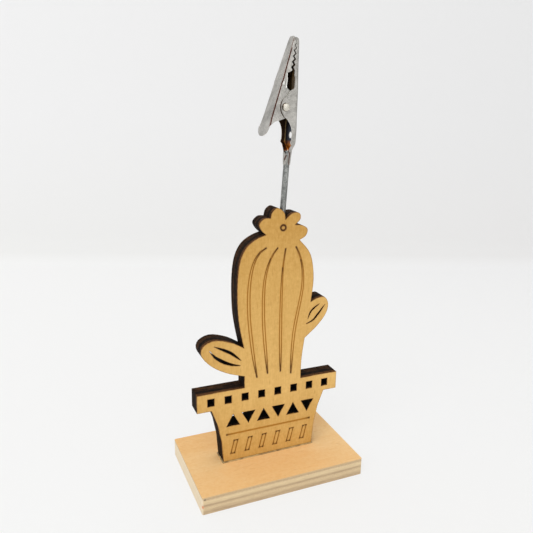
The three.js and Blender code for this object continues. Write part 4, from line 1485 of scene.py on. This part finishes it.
@dataclass
class Studio:
    """Pale floor that curves up into a backdrop, and soft lamps.

    The tone_ sizes say over how many millimetres the grey changes: to each side, towards the
    camera on the floor, up the wall, and from the floor to the wall. These changes are painted
    falloff of the light.
    """

    camera: Camera
    reach: float = 480.0
    line_turn: float = 1.8
    half_width: float = 1600.0
    front_reach: float = 1600.0
    height: float = 1500.0
    cove: float = 22.0
    sky: float = 0.74
    lit_share: float = 0.2
    tone_side: float = 230.0
    tone_front: float = 330.0
    tone_up: tuple[float, float] = (2, 120)
    tone_foot: tuple[float, float] = (0.2, 8)
    aim: tuple[float, float, float] = (0, 0, 60)

    def frame(self) -> tuple[Vector, Vector, Vector]:
        """Gives the middle of the backdrop's foot, its direction across and its direction away."""
        turn = math.radians(self.camera.heading)
        ahead = Vector((math.sin(turn), math.cos(turn), 0))
        foot = Vector((self.camera.place[0], self.camera.place[1], 0)) + ahead * self.reach
        skew = turn - math.radians(self.line_turn)
        away = Vector((math.sin(skew), math.cos(skew), 0))
        return foot, Vector((away.y, -away.x, 0)), away

    def material(self) -> bpy.types.Material:
        """Makes the floor's and backdrop's pale grey, which keeps the object's shadow."""
        foot, across, away = self.frame()
        recipe = Recipe("studio_grey")
        local = recipe.vector("SUBTRACT", recipe.place(1, 1, 1), tuple(foot))
        side = recipe.vector("DOT_PRODUCT", local, tuple(across))
        depth = recipe.vector("DOT_PRODUCT", local, tuple(away))
        height = recipe.part(local, "Z")
        # Darker to the right, farther away and low on the wall: painted falloff of the light.
        right = recipe.slope(side, -self.tone_side, self.tone_side)
        floor_far = recipe.between(right, Tint(242, 242, 241), Tint(233, 233, 233))
        floor_near = recipe.between(right, Tint(243, 243, 242), Tint(238, 238, 237))
        floor = recipe.between(recipe.slope(depth, 0, -self.tone_front), floor_far, floor_near)
        wall_low = recipe.between(right, Tint(233, 233, 231), Tint(224, 223, 222))
        wall_high = recipe.between(right, Tint(236, 236, 236), Tint(224, 224, 224))
        wall = recipe.between(recipe.slope(height, *self.tone_up), wall_low, wall_high)
        shown = recipe.between(recipe.slope(height, *self.tone_foot), floor, wall)
        glow = recipe.node("Emission", {"Color": shown, "Strength": 1 - self.lit_share})
        faint = recipe.node("BsdfDiffuse", {"Color": (self.lit_share,) * 3 + (1,)})
        seen = recipe.node("AddShader", {0: glow.outputs[0], 1: faint.outputs[0]})
        plain = recipe.node("BsdfDiffuse", {"Color": (0.8, 0.8, 0.8, 1)})
        rays = recipe.node("LightPath").outputs
        direct = recipe.calc("MAXIMUM", rays["Is Camera Ray"], rays["Is Glossy Ray"])
        direct = recipe.calc("MAXIMUM", direct, rays["Is Transmission Ray"])
        mixed = recipe.node("MixShader", {0: direct, 1: plain.outputs[0], 2: seen.outputs[0]})
        return recipe.end(mixed.outputs[0])

    def sweep(self) -> None:
        """Makes the floor and backdrop as one sheet with a cove between them."""
        foot, across, away = self.frame()
        deselect()
        bpy.ops.mesh.primitive_plane_add(size=2)
        piece = new_piece("studio_sweep")
        piece.scale = (self.half_width * MM, self.front_reach / 2 * MM, 1)
        apply_place(piece)
        back = 0.99 * self.front_reach / 2 * MM
        select_where(piece, "EDGE", lambda edge: all(v.co.y > back for v in edge.verts))
        extrude(0, 0, self.height)
        select_where(
            piece,
            "EDGE",
            lambda edge: all(v.co.y > back and abs(v.co.z) < MM for v in edge.verts),
        )
        round_edges(self.cove, 12)
        end_edit()
        turn = Matrix((across, away, Vector((0, 0, 1)))).transposed().to_4x4()
        middle = foot - away * (self.front_reach / 2)
        piece.matrix_world = Matrix.Translation(middle * MM) @ turn
        apply_place(piece)
        smooth()
        paint(piece, self.material())
        LOG.info("made the floor and backdrop")

    def lamp(self, name: str, place: tuple[float, float, float], size: float, share: float) -> None:
        """Hangs a square soft lamp that faces the object.

        Args:
            name: name of the lamp.
            place: where it hangs, in millimetres.
            size: its side in millimetres.
            share: light that it adds to a surface facing it, where 1 shows white as white.
        """
        data = bpy.data.lights.new(name, "AREA")
        data.size = size * MM
        way = Vector(self.aim) - Vector(place)
        data.energy = share * math.pi**2 * (way.length * MM) ** 2
        turn = way.to_track_quat("-Z", "Y").to_matrix().to_4x4()
        put(name, data).matrix_world = Matrix.Translation(Vector(place) * MM) @ turn

    def world(self) -> None:
        """Lights the scene from all round with one pale grey."""
        world = bpy.data.worlds.new("studio")
        world.use_nodes = True
        tree = NodeTree(world.node_tree)
        plain = tree.node("Background", {"Color": (1, 1, 1, 1), "Strength": self.sky})
        seen = tree.node("Background", {"Color": Tint(238, 238, 237)})
        direct = tree.node("LightPath").outputs["Is Camera Ray"]
        mix = tree.node("MixShader", {0: direct, 1: plain.outputs[0], 2: seen.outputs[0]})
        tree.node("OutputWorld", {"Surface": mix.outputs[0]})
        bpy.context.scene.world = world

    def build(self) -> None:
        """Makes the stage and its light."""
        self.sweep()
        self.world()
        self.lamp("key_lamp", (-700, -600, 1000), 900, 0.42)
        self.lamp("front_lamp", (150, -1100, 500), 900, 0.12)
        bpy.context.scene.view_settings.view_transform = "Standard"


def main() -> None:
    """Builds the holder and its studio."""
    logging.basicConfig(level=logging.INFO, format="%(message)s")
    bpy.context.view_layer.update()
    camera = Camera()
    camera.build()
    Studio(camera).build()
    lean = Lean()
    for part in (BaseBoard(), CactusPanel(), StemWire(lean), SpringClip(lean)):
        part.build()
    deselect()


if __name__ == "__main__":
    main()
